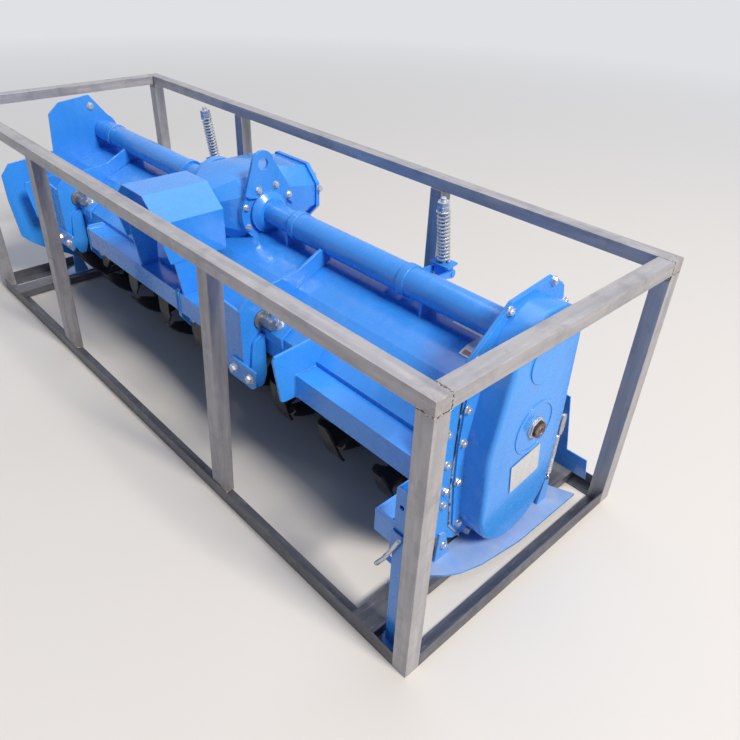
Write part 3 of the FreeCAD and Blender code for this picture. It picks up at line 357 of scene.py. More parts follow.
def weld_metal(name, colour, tint, roughness, metallic):
    """Rippled bead of filler metal: under the enamel, or bare with a brown heat tint."""
    s = Finish(name, colour)
    s.cover(tint, s.spots(0.4, 0.65, 20))
    s.bump((s.grain(1.2, 3.0), 0.2))
    return s.done(roughness, metallic)


def label_vinyl(name, tint):
    """Glossy label vinyl with a little grime and no lettering."""
    s = Finish(name, tint)
    s.cover("#9a9488", s.spots(0.5, 0.75, 20, 6.0), 0.3)
    return s.done(s.uneven(0.2, 0.34, 10, 3.0))


def brushed_aluminium():
    """Brushed aluminium: light and dark lines along the plate's width.

    Brushing leaves lines about 0.1 mm apart, and they are drawn 1.2 mm apart to show.
    """
    s = Finish("brushed_aluminium", "#c2c5c8")
    lines = s.grain(1.2, 3.0, (0.06, 0.06, 1.0))
    s.cover("#d9dbdd", s.add("MapRange", {0: lines, 1: 0.35, 2: 0.65}))
    s.bump((lines, 0.03))
    return s.done(s.add("MapRange", {0: lines, 1: 0.3, 2: 0.7, 3: 0.25, 4: 0.4}), 0.4)


def black_sealant():
    """Cured silicone: black and dull, paler where dust sticks to it low down."""
    s = Finish("black_sealant", "#1b1c1f")
    grain = s.grain(14, 5.0)
    high, low = (s.add("MapRange", {0: grain, 1: a, 2: b}) for a, b in ((0.62, 0.7), (0.42, 0.5)))
    s.cover("#a9a8a5", s.add("Mix", {0: s.beyond(2, 0.46, 0.38), 2: high, 3: low}))
    return s.done(0.45)


def seen_directly(tree):
    """1 for what the camera and reflections see, 0 for the light that falls on the machine."""
    rays = [add_node(tree, "LightPath", {}, "Is %s Ray" % kind) for kind in ("Camera", "Glossy")]
    return add_node(tree, "Math", {0: rays[0], 1: rays[1]}, operation="MAXIMUM")


def pale_floor():
    """Matt pale screed that keeps the shadow and runs into the backdrop far behind the machine."""
    s = Finish("pale_floor", "#d2cfca")
    material = s.done(0.8)
    reach = s.add("VectorMath", {0: s.add("TexCoord", {}, "Object")}, "Value", operation="LENGTH")
    away = s.add("MapRange", {0: reach, 1: FLOOR_FADE[0], 2: FLOOR_FADE[1]})
    wall = s.add("Emission", {"Color": linear(BACKDROP), "Strength": 1.0})
    blend = s.add("MixShader", {0: s.where_all(away, seen_directly(s.tree)), 1: s.surface.outputs[0], 2: wall})
    join(s.tree, s.tree.nodes["Material Output"].inputs["Surface"], blend)
    return material


WELD_PAINT = weld_metal("enamelled_weld", "#3a8adf", "#2f7bd2", 0.35, 0.0)
WELD_STEEL = weld_metal("bare_weld", "#8f8882", "#5f4638", 0.42, 0.75)
MATERIALS = {
    "blue_paint": blue_enamel(),
    "dusty_paint": blue_enamel("dusty_blue_enamel", "#5599e2", "#468cd8", 0.55, (0.1, 0.75)),
    "frame_steel": bare_steel("bare_rails_steel", 0),
    "zinc": zinc_plate(),
    "dull_zinc": zinc_plate("dull_zinc", "#83888e", "#6f757e", 0.36),
    "black_paint": black_dip(),
    "machined_steel": machined_steel(),
    "plug": browned_steel(),
}
STEEL_OF = {
    "frame_long_rails": MATERIALS["frame_steel"],
    "frame_end_rails": bare_steel("bare_end_rail_steel", 1),
    "frame_corner_posts": bare_steel("bare_post_steel", 2),
    "frame_mid_posts": bare_steel("bare_mid_post_steel", 2, "#a9a8ac", "#828187"),
    "frame_long_angles": bare_steel("dark_angle_steel", 0, "#6f7077", "#4a4b52"),
    "frame_end_angles": bare_steel("dark_end_angle_steel", 1, "#6f7077", "#4a4b52"),
    "frame_sills": bare_steel("dark_sill_steel", 1, "#74757c", "#505158"),
}
FINISH_OF = {"skid_right": "dusty_paint", "skid_left": "dusty_paint", "hitch_pins": "dull_zinc"}


def material_of(node):
    """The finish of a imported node."""
    return STEEL_OF.get(node, MATERIALS[FINISH_OF.get(node, SLOT_OF[node])])


# Mesh helpers

def new_piece(name, bm, material, body, smooth=35.0):
    """Object from a bmesh, shaded smooth up to an angle, riding on a body."""
    mesh = bpy.data.meshes.new(name)
    bm.to_mesh(mesh)
    bm.free()
    obj = bpy.data.objects.new(name, mesh)
    bpy.context.scene.collection.objects.link(obj)
    mesh.materials.append(material)
    mesh.shade_smooth()
    mesh.set_sharp_from_angle(angle=math.radians(smooth))
    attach(obj, body)
    return obj


def fixed_piece(name, bm, finish, smooth=30.0):
    """Object on the machine's own body, in a finish that has the name of a record slot."""
    return new_piece(name, bm, MATERIALS[finish], "machine", smooth)


def settle(obj):
    """Puts the result of an object's modifiers into its mesh."""
    mesh = bpy.data.meshes.new_from_object(obj.evaluated_get(bpy.context.evaluated_depsgraph_get()))
    obj.modifiers.clear()
    obj.data = mesh


def round_edges(obj, width, angle=30.0):
    """A two-step bevel on the edges sharper than an angle."""
    bevel = obj.modifiers.new("round", "BEVEL")
    bevel.width = width
    bevel.segments = 2
    bevel.limit_method = "ANGLE"
    bevel.angle_limit = math.radians(angle)
    return bevel


def soften(node, width=0.0012, angle=32.0):
    """The node's shape with its sharp edges rounded, as folded or sawn steel has them."""
    bm = bmesh.new()
    bm.from_mesh(NODES[node].data)
    bmesh.ops.remove_doubles(bm, verts=bm.verts, dist=0.00002)
    bmesh.ops.dissolve_limit(bm, angle_limit=math.radians(0.5), verts=bm.verts, edges=bm.edges)
    obj = new_piece(node + "_finish", bm, material_of(node), BODY_OF[node], angle)
    round_edges(obj, width, angle).harden_normals = True
    settle(obj)
    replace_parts(obj, node)
    return obj


def frame_along(direction):
    """Rotation whose Z axis points along a direction."""
    return Vector(direction).to_track_quat("Z", "Y").to_matrix().to_4x4()


def placed(point, direction):
    """Matrix of a place with its Z axis along a direction."""
    return Matrix.Translation(Vector(point)) @ frame_along(direction)


def ring_of(bm, place, radius, height, count, turn=0.0):
    """Ring of vertices about the Z axis of a place."""
    return [bm.verts.new(place @ Vector((radius * math.cos(turn + 2 * math.pi * k / count),
                                         radius * math.sin(turn + 2 * math.pi * k / count), height)))
            for k in range(count)]


def bridge(bm, a, b):
    """Band of faces between two rings."""
    for k in range(len(a)):
        bm.faces.new((a[k], a[(k + 1) % len(a)], b[(k + 1) % len(b)], b[k]))


def skin(bm, rings, align=False):
    """Closed solid through rings; align turns each ring on to the nearest start of the one before."""
    for a, b in zip(rings, rings[1:]):
        near = min(range(len(b)), key=lambda k: (b[k].co - a[0].co).length) if align else 0
        bridge(bm, a, b[near:] + b[:near])
    bm.faces.new(rings[0][::-1])
    bm.faces.new(rings[-1])


def stack(bm, place, profile, count, turn=0.0):
    """Turned or hexagonal solid through rings of (radius, height)."""
    skin(bm, [ring_of(bm, place, radius, height, count, turn) for radius, height in profile])


def along_path(points, i):
    """Direction of a path at its point i."""
    return points[min(i + 1, len(points) - 1)] - points[max(i - 1, 0)]


def tube(bm, points, wire, sides=8):
    """Round wire through a list of points."""
    skin(bm, [ring_of(bm, placed(p, along_path(points, i)), wire, 0, sides) for i, p in enumerate(points)],
         align=True)


def helix(bm, start, direction, length, radius, wire, turns, per_turn=20, sides=8):
    """Round wire wound about a line from start."""
    place, up = placed(start, direction), Vector((0, 0, 1))
    steps = int(turns * per_turn)
    rings = []
    for i in range(steps + 1):
        angle = 2 * math.pi * turns * i / steps
        out = Vector((math.cos(angle), math.sin(angle), 0))
        centre = radius * out + Vector((0, 0, length * i / steps))
        rings.append([bm.verts.new(place @ (centre + wire * (out * math.cos(a) + up * math.sin(a))))
                      for a in (2 * math.pi * k / sides for k in range(sides))])
    skin(bm, rings)


def plate_between(bm, outline, start, end, axis=0):
    """Plate with an outline across an axis, 0 for X or 1 for Y, between two places on it."""
    near, far = ([bm.verts.new((at, u, v) if axis == 0 else (u, at, v)) for u, v in outline]
                 for at in (start, end))
    bridge(bm, near, far)
    bm.faces.new(near[::-1])
    bm.faces.new(far)


def plate_on(bm, centre, across, up, size, corner, thick, lift=0.0):
    """Thin plate with round corners on a flat face; across and up are its directions."""
    across, up = Vector(across).normalized(), Vector(up).normalized()
    out = across.cross(up)
    rim = []
    for i, (cx, cy) in enumerate(((1, 1), (-1, 1), (-1, -1), (1, -1))):
        for k in range(5):
            a = math.radians(90 * i + 22.5 * k)
            rim.append(across * (cx * (size[0] / 2 - corner) + corner * math.cos(a))
                       + up * (cy * (size[1] / 2 - corner) + corner * math.sin(a)))
    low, high = ([bm.verts.new(Vector(centre) + p + out * at) for p in rim] for at in (lift, lift + thick))
    bridge(bm, low, high)
    bm.faces.new(high)
    bm.faces.new(low[::-1])


def rounded(points, radius, steps=4):
    """The outline with each corner turned into an arc."""
    out = []
    for i, p in enumerate(points):
        p, before, after = Vector(p), Vector(points[i - 1]), Vector(points[(i + 1) % len(points)])
        to, away = (before - p).normalized(), (after - p).normalized()
        r = min(radius, (before - p).length * 0.45, (after - p).length * 0.45)
        a, b = p + to * r, p + away * r
        for k in range(steps + 1):
            t = k / steps
            out.append(tuple(a * (1 - t) ** 2 + p * 2 * t * (1 - t) + b * t ** 2))
    return out


# Springs

def rod_line(side):
    """Swivel point and upward direction of a spring rod, from the joint and the rod's foot."""
    swivel = Vector(JOINT["rod_%s_swing" % side]["pos_m"])
    foot = Vector((swivel.x, ROD_FOOT_Y, ROD_FOOT_Z))
    return swivel, (swivel - foot).normalized()


def coil_springs():
    """Open-wound zinc springs on the rods, between the swivel block and the nuts."""
    for side in ("right", "left"):
        swivel, up = rod_line(side)
        bm = bmesh.new()
        helix(bm, swivel + up * (SPRING_SEAT + SPRING_WIRE), up, SPRING_LENGTH - 2 * SPRING_WIRE,
              SPRING_RADIUS, SPRING_WIRE, SPRING_TURNS, 28, 10)
        obj = new_piece("coil_" + side, bm, MATERIALS["zinc"], "rod_" + side)
        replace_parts(obj, "spring_" + side)


def wire_hook(bm, centre, radius, wire, reach):
    """Hook of a spring about a pin along Y, with a straight tail up to the coil."""
    side, up = Vector((1, 0, 0)), Vector((0, 0, 1))
    points = [centre + up * (reach + wire), centre + up * (radius + 2 * wire)]
    for i in range(25):
        a = math.radians(-60 + i * 12.5)
        points.append(centre + side * radius * math.sin(a) - up * radius * math.cos(a))
    tube(bm, points, wire)


def tension_coil():
    """Close-wound spring behind the gear case, on a flat shackle above and its own wire hook below."""
    low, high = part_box("tension_spring")
    middle = (low + high) / 2
    x, y, wire, radius, hook = middle.x, middle.y, TENSION_WIRE, TENSION_RADIUS, TENSION_HOOK
    z0, z1 = low.z + TENSION_FOOT, high.z - TENSION_HEAD
    bm = bmesh.new()
    helix(bm, (x, y, z0), (0, 0, 1), z1 - z0, radius, wire, int((z1 - z0) / (2 * wire * TENSION_PITCH)))
    wire_hook(bm, Vector((x, y, low.z + hook + wire)), hook, wire, z0 - low.z - hook - wire)
    obj = new_piece("tension_coil", bm, MATERIALS["zinc"], BODY_OF["tension_spring"])
    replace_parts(obj, "tension_spring")

    bm = bmesh.new()
    half, foot, head = SHACKLE_HALF, z1 + 0.012, high.z - 0.001
    outline = [(y - half, foot + 0.020), (y - half * 0.5, foot), (y + half * 0.5, foot),
               (y + half, foot + 0.020), (y + half, head - 0.010), (y + half * 0.5, head),
               (y - half * 0.5, head), (y - half, head - 0.010)]
    plate_between(bm, rounded(outline, 0.006), high.x - 2 * SHACKLE_T, high.x - 0.0005)
    bell = [(radius - wire - 0.0006, 0), (radius + wire, 0.0020), (radius + wire, 0.0100), (half * 0.5, 0.0150)]
    stack(bm, placed((x, y, z1 - 0.002), (0, 0, 1)), bell, 20)
    bmesh.ops.recalc_face_normals(bm, faces=bm.faces)
    new_piece("tension_hook", bm, MATERIALS["zinc"], BODY_OF["tension_spring"])


# Fasteners

def seat(point, out, nodes, back=0.25):
    """Point where a line against the direction out first meets the nodes, from back metres off."""
    point, out = Vector(point), Vector(out).normalized()
    rays = [NODES[node].ray_cast(point + out * back, -out, distance=2 * back) for node in nodes]
    return max((place for hit, place, normal, face in rays if hit), key=lambda place: (place - point).dot(out))


def bolt(bm, point, out, flats=0.019, head=0.008, turn=0.0):
    """Hexagon head with a chamfer and a maker's dimple, on a flat washer."""
    place = placed(point, out)
    corner, thick = flats / math.sqrt(3), flats * 0.13
    washer, top = corner * 1.24, thick + head
    stack(bm, place, [(washer, -0.001), (washer, thick * 0.75), (washer * 0.97, thick)], 20)
    stack(bm, place, [(corner, thick), (corner, thick + head * 0.82), (corner * 0.9, top)], 6, turn)
    stack(bm, place, [(corner * 0.6, top), (corner * 0.56, top + 0.0006)], 14)


def nut_end(bm, point, out, flats=0.019, turn=0.0, reach=0.006):
    """Nut on a washer with the end of the screw standing out."""
    place = placed(point, out)
    corner, thick, high, screw = flats / math.sqrt(3), flats * 0.13, flats * 0.75, flats * 0.31
    top = thick + high
    stack(bm, place, [(corner * 1.24, -0.001), (corner * 1.24, thick)], 20)
    stack(bm, place, [(corner * 0.9, thick), (corner, thick + 0.1 * high), (corner, thick + 0.9 * high),
                      (corner * 0.9, top)], 6, turn)
    stack(bm, place, [(screw, top), (screw, top + reach * 0.8), (screw * 0.85, top + reach)], 14)


def bolt_group(name, entries, nodes, flats=0.019):
    """One object of zinc bolts, each set down on the nodes. Entries are (point, out)."""
    bm = bmesh.new()
    for i, (point, out) in enumerate(entries):
        bolt(bm, seat(point, out, nodes), out, flats, turn=0.7 * i)
    fixed_piece(name, bm, "zinc")


def facing(out, x, spots):
    """Bolts at (Y, Z) spots that face outward, with the place on X where they are looked for."""
    return [((x, y, z), out) for y, z in spots]


def bolt_circle(x, centre, out, radius, count, start):
    """Bolts on a circle about an axis along X, each with the outward direction."""
    angles = (math.radians(start) + 2 * math.pi * k / count for k in range(count))
    return [((x, centre[0] + radius * math.cos(a), centre[1] + radius * math.sin(a)), out) for a in angles]


def fasteners():
    """Every bolt of the machine's own body that shows, apart from those of the hitch clamps."""
    right, left, rear = (1, 0, 0), (-1, 0, 0), (0, 1, 0)
    bolt_group("case_rim_bolts", facing(right, OUTSIDE_X, RIM_BOLTS), ["gear_case"])
    bolt_group("side_strip_bolts",
               facing(right, OUTSIDE_X, STRIP_BOLTS) + facing(left, -OUTSIDE_X, STRIP_BOLTS),
               ["side_plate_right", "side_plate_left"])
    bolt_group("skid_tab_bolts", facing(right, OUTSIDE_X, [TAB_BOLT]) + facing(left, -OUTSIDE_X, [TAB_BOLT]),
               ["skid_right", "skid_left"])
    bolt_group("bearing_bolts", bolt_circle(-OUTSIDE_X, ROTOR_AXIS, left, *BEARING_BOLTS),
               ["rotor_bearing_left"])
    bolt_group("cap_bolts", bolt_circle(-OUTSIDE_X, TUBE_AXIS, left, *CAP_BOLTS), ["beam_cap_left"], 0.016)
    bolt_group("flange_bolts", bolt_circle(FLANGE_X[0], TUBE_AXIS, left, *FLANGE_BOLTS)
               + bolt_circle(FLANGE_X[1], TUBE_AXIS, right, *FLANGE_BOLTS),
               ["gearbox_housing", "lifting_lug"], 0.018)
    bolt_group("cover_bolts", [((GEARBOX_X + x, COVER_Y, GEARBOX_Z + z), rear) for x, z in COVER_BOLTS],
               ["gearbox_cover"], 0.016)
    bolt_group("guard_bolts", facing(right, GUARD_X[1], GUARD_BOLTS) + facing(left, GUARD_X[0], GUARD_BOLTS),
               ["input_guard"], 0.016)
    bm = bmesh.new()
    for near, far in LUG_FACES:
        bolt(bm, (far, *LUG_HOLE), right, 0.024, 0.012, turn=0.4)
        nut_end(bm, (near, *LUG_HOLE), left, 0.024, turn=0.9)
    fixed_piece("lug_bolts", bm, "zinc")
    bolt_group("left_plate_bolt", [(LEFT_PLATE_BOLT, right)], ["side_plate_left"], 0.024)
    blade_bolts()
    low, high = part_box("gearbox_cover")
    bm = bmesh.new()
    bolt(bm, (high.x, (low.y + high.y) / 2, SIDE_PLUG_Z), right, 0.019, 0.011)
    fixed_piece("gearbox_side_plug", bm, "zinc")


def blade_bolts():
    """Two screws through the root of every blade and its disc, heads on the blade."""
    heads, nuts = bmesh.new(), bmesh.new()
    twist = 360 / BLADES_PER_DISC / DISCS
    at = 0
    for i in range(DISCS):
        centre = Vector((DISC_START + i * DISC_PITCH, *ROTOR_AXIS))
        for k in range(BLADES_PER_DISC):
            a = math.radians(FIRST_TURN + i * twist + k * 360 / BLADES_PER_DISC)
            out = Vector((1 if k % 2 else -1, 0, 0))
            radial, side = Vector((0, -math.sin(a), math.cos(a))), Vector((0, math.cos(a), math.sin(a)))
            for s in (-1, 1):
                point = centre + radial * BLADE_BOLT_R + side * s * BLADE_BOLT_SIDE
                bolt(heads, point + out * BLADE_HEAD, out, 0.014, turn=0.5 * at)
                nut_end(nuts, point - out * BLADE_NUT, -out, 0.014, turn=0.5 * at)
                at += 1
    for name, bm in (("blade_bolt_heads", heads), ("blade_bolt_nuts", nuts)):
        new_piece(name, bm, MATERIALS["black_paint"], "rotor", 30.0)


# Welds

def weld(bm, points, size=0.0035, closed=False, ripple=0.0028):
    """Rippled fillet bead along a line of points."""
    path = [Vector(p) for p in points]
    if closed:
        path.append(path[0])
    fine = []
    for a, b in zip(path, path[1:]):
        steps = max(1, round((b - a).length / (ripple / 2)))
        fine += [a.lerp(b, k / steps) for k in range(steps)]
    fine.append(path[-1])
    rings = []
    for i, p in enumerate(fine):
        wave = (1.0 if i % 2 else 0.82) * (1 + 0.08 * math.sin(i * 1.7) + 0.05 * math.sin(i * 0.41))
        end = 0.55 if i in (0, len(fine) - 1) and not closed else 1.0
        rings.append(ring_of(bm, placed(p, along_path(fine, i)), size * wave * end, 0, 6))
    skin(bm, rings, align=True)


def ring_path(x, radius, y, z, start=0, stop=360, count=40):
    """Points on an arc about an axis along X."""
    angles = (math.radians(start + (stop - start) * k / count) for k in range(count + 1))
    return [(x, y + radius * math.cos(a), z + radius * math.sin(a)) for a in angles]


def box_path(x, y0, y1, z0, z1):
    """Points round a square tube that meets a plate at x."""
    return [(x, y0, z0), (x, y0, z1), (x, y1, z1), (x, y1, z0)]


def machine_welds():
    """Beads under the enamel: collars, front beam, hitch cheeks, hood saddles and tube flange."""
    bm = bmesh.new()
    skirt = TUBE_R + 0.001
    for start, way, collars in COLLARS:
        for at in collars:
            for side in (-1, 1):
                weld(bm, ring_path(start + way * (at + side * COLLAR_HALF), skirt, *TUBE_AXIS))
    for x in (PLATE_FACE_X, -PLATE_FACE_X):
        weld(bm, box_path(x, *BEAM_Y, *BEAM_Z), 0.004)
    for x in BEAM_BUTTS:
        weld(bm, box_path(x, *BEAM_Y, *BEAM_Z), 0.004, closed=True)
    for shift in (0.0, CHEEK_SHIFT):
        inner, outer = CHEEK_FACE - CHEEK_T + shift, CHEEK_FACE + shift
        weld(bm, [(inner, BEAM_Y[0], z) for z in CHEEK_WELD_Z], 0.004)
        for x in (inner, outer):
            weld(bm, ring_path(x, skirt, *TUBE_AXIS, *CHEEK_ARC))
    for x in SADDLES:
        for side in (-SADDLE_HALF, SADDLE_HALF):
            weld(bm, [(x + side, y, SADDLE_Z) for y in SADDLE_Y], 0.003)
            weld(bm, ring_path(x + side, skirt, *TUBE_AXIS, *SADDLE_ARC), 0.003)
    weld(bm, ring_path(FLANGE_WELD_X, FLANGE_WELD_R, *TUBE_AXIS))
    new_piece("machine_welds", bm, WELD_PAINT, "machine", 70.0)


def frame_welds():
    """Beads where posts, rails and base angles meet, on the sides that stay clear."""
    bm = bmesh.new()
    for sx in (-1, 1):
        for sy in (-1, 1):
            x, y = sx * (FRAME_X - POST), sy * (FRAME_Y - POST)
            edge_x, edge_y = sx * (FRAME_X - 0.004), sy * (FRAME_Y - 0.004)
            foot_x, foot_y = sx * (FRAME_X - ON_ANGLE), sy * (FRAME_Y - ON_ANGLE)
            weld(bm, [(x, edge_y, RAIL_LOW), (x, y, RAIL_LOW), (edge_x, y, RAIL_LOW)], 0.004)
            weld(bm, [(x, y, RAIL_TOP - 0.002), (edge_x, y, RAIL_TOP - 0.002)], 0.0022)
            weld(bm, [(x, y, RAIL_LOW), (x, y, RAIL_TOP - 0.004)], 0.004)
            weld(bm, [(x, foot_y, z) for z in FOOT_WELD_Z], 0.004)
            weld(bm, [(foot_x, y, z) for z in FOOT_WELD_Z], 0.004)
    for x, y, lean in MID_POSTS:
        for side in (-1, 1):
            for at, z in ((x + lean, RAIL_LOW), (x - lean, ON_ANGLE)):
                at += side * POST / 2
                weld(bm, [(at, y * (FRAME_Y - ON_ANGLE), z), (at, y * (FRAME_Y - POST + 0.002), z)], 0.004)
    new_piece("frame_welds", bm, WELD_STEEL, "machine", 70.0)


# Splined stub, plug, hitch clamps, plates and labels

def splined_stub():
    """Six-tooth power take-off stub with its locking groove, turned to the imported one's outline."""
    low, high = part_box("input_shaft")
    tip, root = low.y, high.y
    stations = [  # place along Y, radius, depth of the teeth
        (root, JOURNAL_R, 0), (INPUT_NOSE - 0.004, JOURNAL_R, 0), (INPUT_NOSE - 0.0042, 0.0192, 0),
        (INPUT_NOSE - 0.010, SPLINE_R, 0), (INPUT_NOSE - 0.013, SPLINE_R, 1), (tip + 0.030, SPLINE_R, 1),
        (tip + 0.0285, SPLINE_R - GROOVE, 0.2), (tip + 0.0215, SPLINE_R - GROOVE, 0.2),
        (tip + 0.020, SPLINE_R, 1), (tip + 0.003, SPLINE_R, 1), (tip, SPLINE_R - 0.003, 0.6)]
    count = SPLINE_TEETH * 12
    bm = bmesh.new()
    rings = []
    for y, radius, toothed in stations:
        ring = []
        for k in range(count):
            gap = 1.0 if 3 <= k % 12 <= 8 else 0.0
            r = radius - toothed * gap * (SPLINE_R - SPLINE_ROOT)
            a = 2 * math.pi * (k - 0.5) / count
            ring.append(bm.verts.new((GEARBOX_X + r * math.cos(a), y, GEARBOX_Z + r * math.sin(a))))
        rings.append(ring)
    skin(bm, rings)
    bmesh.ops.recalc_face_normals(bm, faces=bm.faces)
    obj = new_piece("splined_stub", bm, MATERIALS["machined_steel"], BODY_OF["input_shaft"],
                    30.0)
    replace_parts(obj, "input_shaft")


def filler_plug():
    """Level plug of the gear case: zinc collar with flats, and the ribbed brown screw in it."""
    low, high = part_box("case_plug")
    place = placed((low.x, PLUG_Y, PLUG_Z), (1, 0, 0))
    bm = bmesh.new()
    stack(bm, place, [(0.0335, 0), (0.0335, 0.0045), (0.0325, 0.0055)], 48)
    stack(bm, place, [(0.0315, 0.0055), (0.0325, 0.0065), (0.0325, 0.0095), (0.0305, 0.011)], 6, 0.35)
    fixed_piece("plug_collar", bm, "zinc")
    bm = bmesh.new()
    profile = [(0.0235, 0.010)]
    for k in range(PLUG_RIBS):
        at = RIB_START + k * RIB_PITCH
        profile += [(0.0238, at), (0.0258, at + 0.0008), (0.0258, at + 0.0013), (0.0238, at + 0.0019)]
    top = RIB_START + PLUG_RIBS * RIB_PITCH
    profile += [(0.0230, top + 0.0012), (0.0165, top + 0.0014), (0.0155, top), (0.0105, top),
                (0.0095, top + 0.0012), (0.0080, top + 0.0012), (0.0072, top - 0.004)]
    stack(bm, place, profile, 48)
    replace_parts(fixed_piece("plug_screw", bm, "plug"), "case_plug")


def hitch_clamps():
    """On each hitch cheek: a clamp plate outside, an ear on the hood and a bolted foot in front."""
    (x0, x1), (z0, z1), slant = FOOT_X, FOOT_Z, FOOT_SLANT
    foot = rounded([(x0, z0), (x1 - slant, z0), (x1, z0 + slant), (x1, z1), (x0 + slant, z1), (x0, z1 - slant)],
                   0.008)
    slope = (SLOPE_HEAD - SLOPE_FOOT).normalized()
    rise = Vector((0, -slope.z, slope.y))
    front = SLOPE_FOOT.y - EAR_T
    ear = [(SLOPE_FOOT.y, EAR_LOW), (front, EAR_LOW), (front, SLOPE_FOOT.z + 0.004)]
    ear += [(p.y, p.z) for p in (SLOPE_FOOT + rise * EAR_T, SLOPE_HEAD + rise * EAR_T, SLOPE_HEAD, SLOPE_FOOT)]
    bm = bmesh.new()
    for shift in (0.0, CHEEK_SHIFT):
        face = CHEEK_FACE + shift
        plate_between(bm, rounded(CLAMP, 0.014), face, face + CLAMP_T)
        plate_between(bm, [(x + shift, z) for x, z in foot], CHEEK_FRONT - FOOT_T, CHEEK_FRONT, 1)
        plate_between(bm, ear, face, face + EAR_REACH)
    bmesh.ops.recalc_face_normals(bm, faces=bm.faces)
    obj = fixed_piece("hitch_clamps", bm, "blue_paint")
    round_edges(obj, 0.0015)
    settle(obj)
    bm = bmesh.new()
    place = SLOPE_FOOT.lerp(SLOPE_HEAD, EAR_NUT[1]) + rise * EAR_T
    for shift in (0.0, CHEEK_SHIFT):
        bolt(bm, (CHEEK_FACE + EAR_NUT[0] + shift, place.y, place.z), rise, 0.030, 0.016, turn=0.3)
        for i, x in enumerate(FOOT_BOLT_X):
            bolt(bm, (x + shift, CHEEK_FRONT - FOOT_T, FOOT_BOLT_Z), (0, -1, 0), 0.024, 0.012, turn=0.6 * i)
    fixed_piece("clamp_bolts", bm, "zinc")


def name_plate():
    """Blank brushed plate on four rivets, hung a little askew."""
    across = Vector((0, math.cos(PLATE_LEAN), math.sin(PLATE_LEAN)))
    up = Vector((0, -math.sin(PLATE_LEAN), math.cos(PLATE_LEAN)))
    top = PLATE_LIFT + PLATE_T
    bm = bmesh.new()
    plate_on(bm, PLATE_AT, across, up, PLATE_SIZE, 0.004, PLATE_T, PLATE_LIFT)
    for sx in (-1, 1):
        for sz in (-1, 1):
            at = PLATE_AT + across * sx * (PLATE_SIZE[0] / 2 - 0.006) + up * sz * (PLATE_SIZE[1] / 2 - 0.006)
            stack(bm, placed(at, (1, 0, 0)), [(0.0022, 0), (0.0022, top), (0.0036, top), (0.0033, top + 0.0010),
                                              (0.0018, top + 0.0016)], 14)
    new_piece("name_plate", bm, brushed_aluminium(), "machine", 30.0)


def labels():
    """Blank vinyl on the hood by the right side plate: white, with a red-brown block and stripe."""
    for name, vinyl, tint, thick, plates in VINYL:
        bm = bmesh.new()
        for centre, up, size in plates:
            plate_on(bm, centre, (1, 0, 0), up, size, 0.002, thick)
        new_piece(name, bm, label_vinyl(vinyl, tint), "machine", 30.0)


def sealant():
    """Sealant squeezed out along the front edge of the gear case rim."""
    bm = bmesh.new()
    weld(bm, [(SEAL_X, y, z) for y, z in SEAL_LINE], 0.0032, ripple=0.006)
    new_piece("case_sealant", bm, black_sealant(), "machine", 70.0)


# Parking leg

def leg_lever():
    """Bent zinc handle on the end of the pin that holds the parking leg."""
    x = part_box("parking_leg")[0].x + LEG_EDGE
    y, z = LEG_PIN
    path = [(0, 0.004, 0), (0, -0.016, 0), (0, -0.029, 0.002), (0.003, -0.038, 0.007), (0.010, -0.042, 0.017),
            (0.034, -0.042, 0.058), (0.074, -0.042, 0.150)]
    bm = bmesh.new()
    tube(bm, [Vector((x + dx, y + dy, z + dz)) for dx, dy, dz in path], 0.0058, 14)
    new_piece("leg_lever", bm, MATERIALS["zinc"], "leg", 40.0)


def leg_holes(obj):
    """Setting hole through the front and rear wall of the square leg, above its sleeve."""
    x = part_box("parking_leg")[0].x + LEG_EDGE + LEG_HALF
    bm = bmesh.new()
    stack(bm, placed((x, LEG_PIN[0] - 0.03, LEG_HOLE_Z), (0, 1, 0)), [(LEG_HOLE_R, 0), (LEG_HOLE_R, 0.06)], 28)
    bmesh.ops.recalc_face_normals(bm, faces=bm.faces)
    mesh = bpy.data.meshes.new("hole_cutter")
    bm.to_mesh(mesh)
    bm.free()
    cutter = bpy.data.objects.new("hole_cutter", mesh)
    bpy.context.scene.collection.objects.link(cutter)
    cut = obj.modifiers.new("holes", "BOOLEAN")
    cut.object = cutter
    cut.operation = "DIFFERENCE"
    cut.solver = "EXACT"
    settle(obj)
    bpy.data.objects.remove(cutter)


def soften_all():
    """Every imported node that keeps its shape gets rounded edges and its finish."""
    for node in sorted(set(NODES) - REPLACED):
        obj = soften(node)
        if node == "parking_leg":
            leg_holes(obj)


# Camera, light and floor

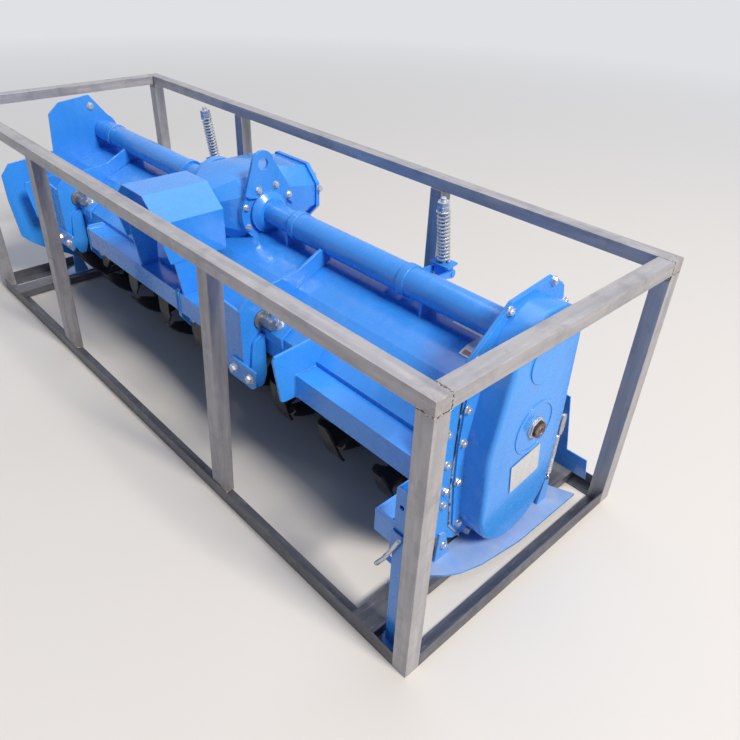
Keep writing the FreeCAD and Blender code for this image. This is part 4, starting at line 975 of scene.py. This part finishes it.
def camera():
    """The photograph's view: it looks from the front right, a little rolled."""
    az, el = CAM_AZIMUTH, CAM_ELEVATION
    back = Vector((math.sin(az) * math.cos(el), -math.cos(az) * math.cos(el), math.sin(el)))
    level = (-back).cross(Vector((0, 0, 1))).normalized()
    upright = level.cross(-back)
    right = math.cos(CAM_ROLL) * level + math.sin(CAM_ROLL) * upright
    up = math.cos(CAM_ROLL) * upright - math.sin(CAM_ROLL) * level
    data = bpy.data.cameras.new("photo_camera")
    data.sensor_width = SENSOR
    data.lens = FOCAL_PIXELS / IMAGE_SIDE * SENSOR
    obj = bpy.data.objects.new("photo_camera", data)
    bpy.context.scene.collection.objects.link(obj)
    matrix = Matrix((right, up, back)).transposed().to_4x4()
    matrix.translation = Vector(CAM_PLACE)
    obj.matrix_world = matrix
    bpy.context.scene.camera = obj


def area_light(name, place, target, size, watts, colour):
    """Square soft box that looks at a point."""
    data = bpy.data.lights.new(name, "AREA")
    data.size = size
    data.energy = watts
    data.color = linear(colour)[:3]
    obj = bpy.data.objects.new(name, data)
    bpy.context.scene.collection.objects.link(obj)
    obj.location = place
    obj.rotation_euler = (Vector(target) - Vector(place)).to_track_quat("-Z", "Y").to_euler()


def backdrop():
    """Faint blue sky light, with a plain pale wall for the camera and for reflections."""
    world = bpy.data.worlds.new("studio")
    bpy.context.scene.world = world
    world.use_nodes = True
    tree = world.node_tree
    sky = tree.nodes["Background"]
    join(tree, sky.inputs["Color"], linear("#bfd2fb"))
    join(tree, sky.inputs["Strength"], 0.2)
    wall = add_node(tree, "Background", {"Color": linear(BACKDROP), "Strength": 1.0})
    blend = add_node(tree, "MixShader", {0: seen_directly(tree), 1: sky.outputs[0], 2: wall})
    join(tree, tree.nodes["World Output"].inputs["Surface"], blend)


def studio():
    """Soft key from the right, a front fill, an even top light and a pale floor."""
    backdrop()
    for lamp in LAMPS:
        area_light(*lamp)
    bm = bmesh.new()
    bmesh.ops.create_grid(bm, x_segments=1, y_segments=1, size=FLOOR_HALF)
    mesh = bpy.data.meshes.new("floor")
    bm.to_mesh(mesh)
    bm.free()
    floor = bpy.data.objects.new("floor", mesh)
    floor.location.z = cad_bounds[0][2] - FLOOR_GAP
    bpy.context.scene.collection.objects.link(floor)
    mesh.materials.append(pale_floor())
    bpy.context.scene.view_settings.view_transform = "Standard"


coil_springs()
tension_coil()
splined_stub()
fasteners()
machine_welds()
frame_welds()
name_plate()
labels()
filler_plug()
hitch_clamps()
sealant()
leg_lever()
soften_all()
camera()
studio()
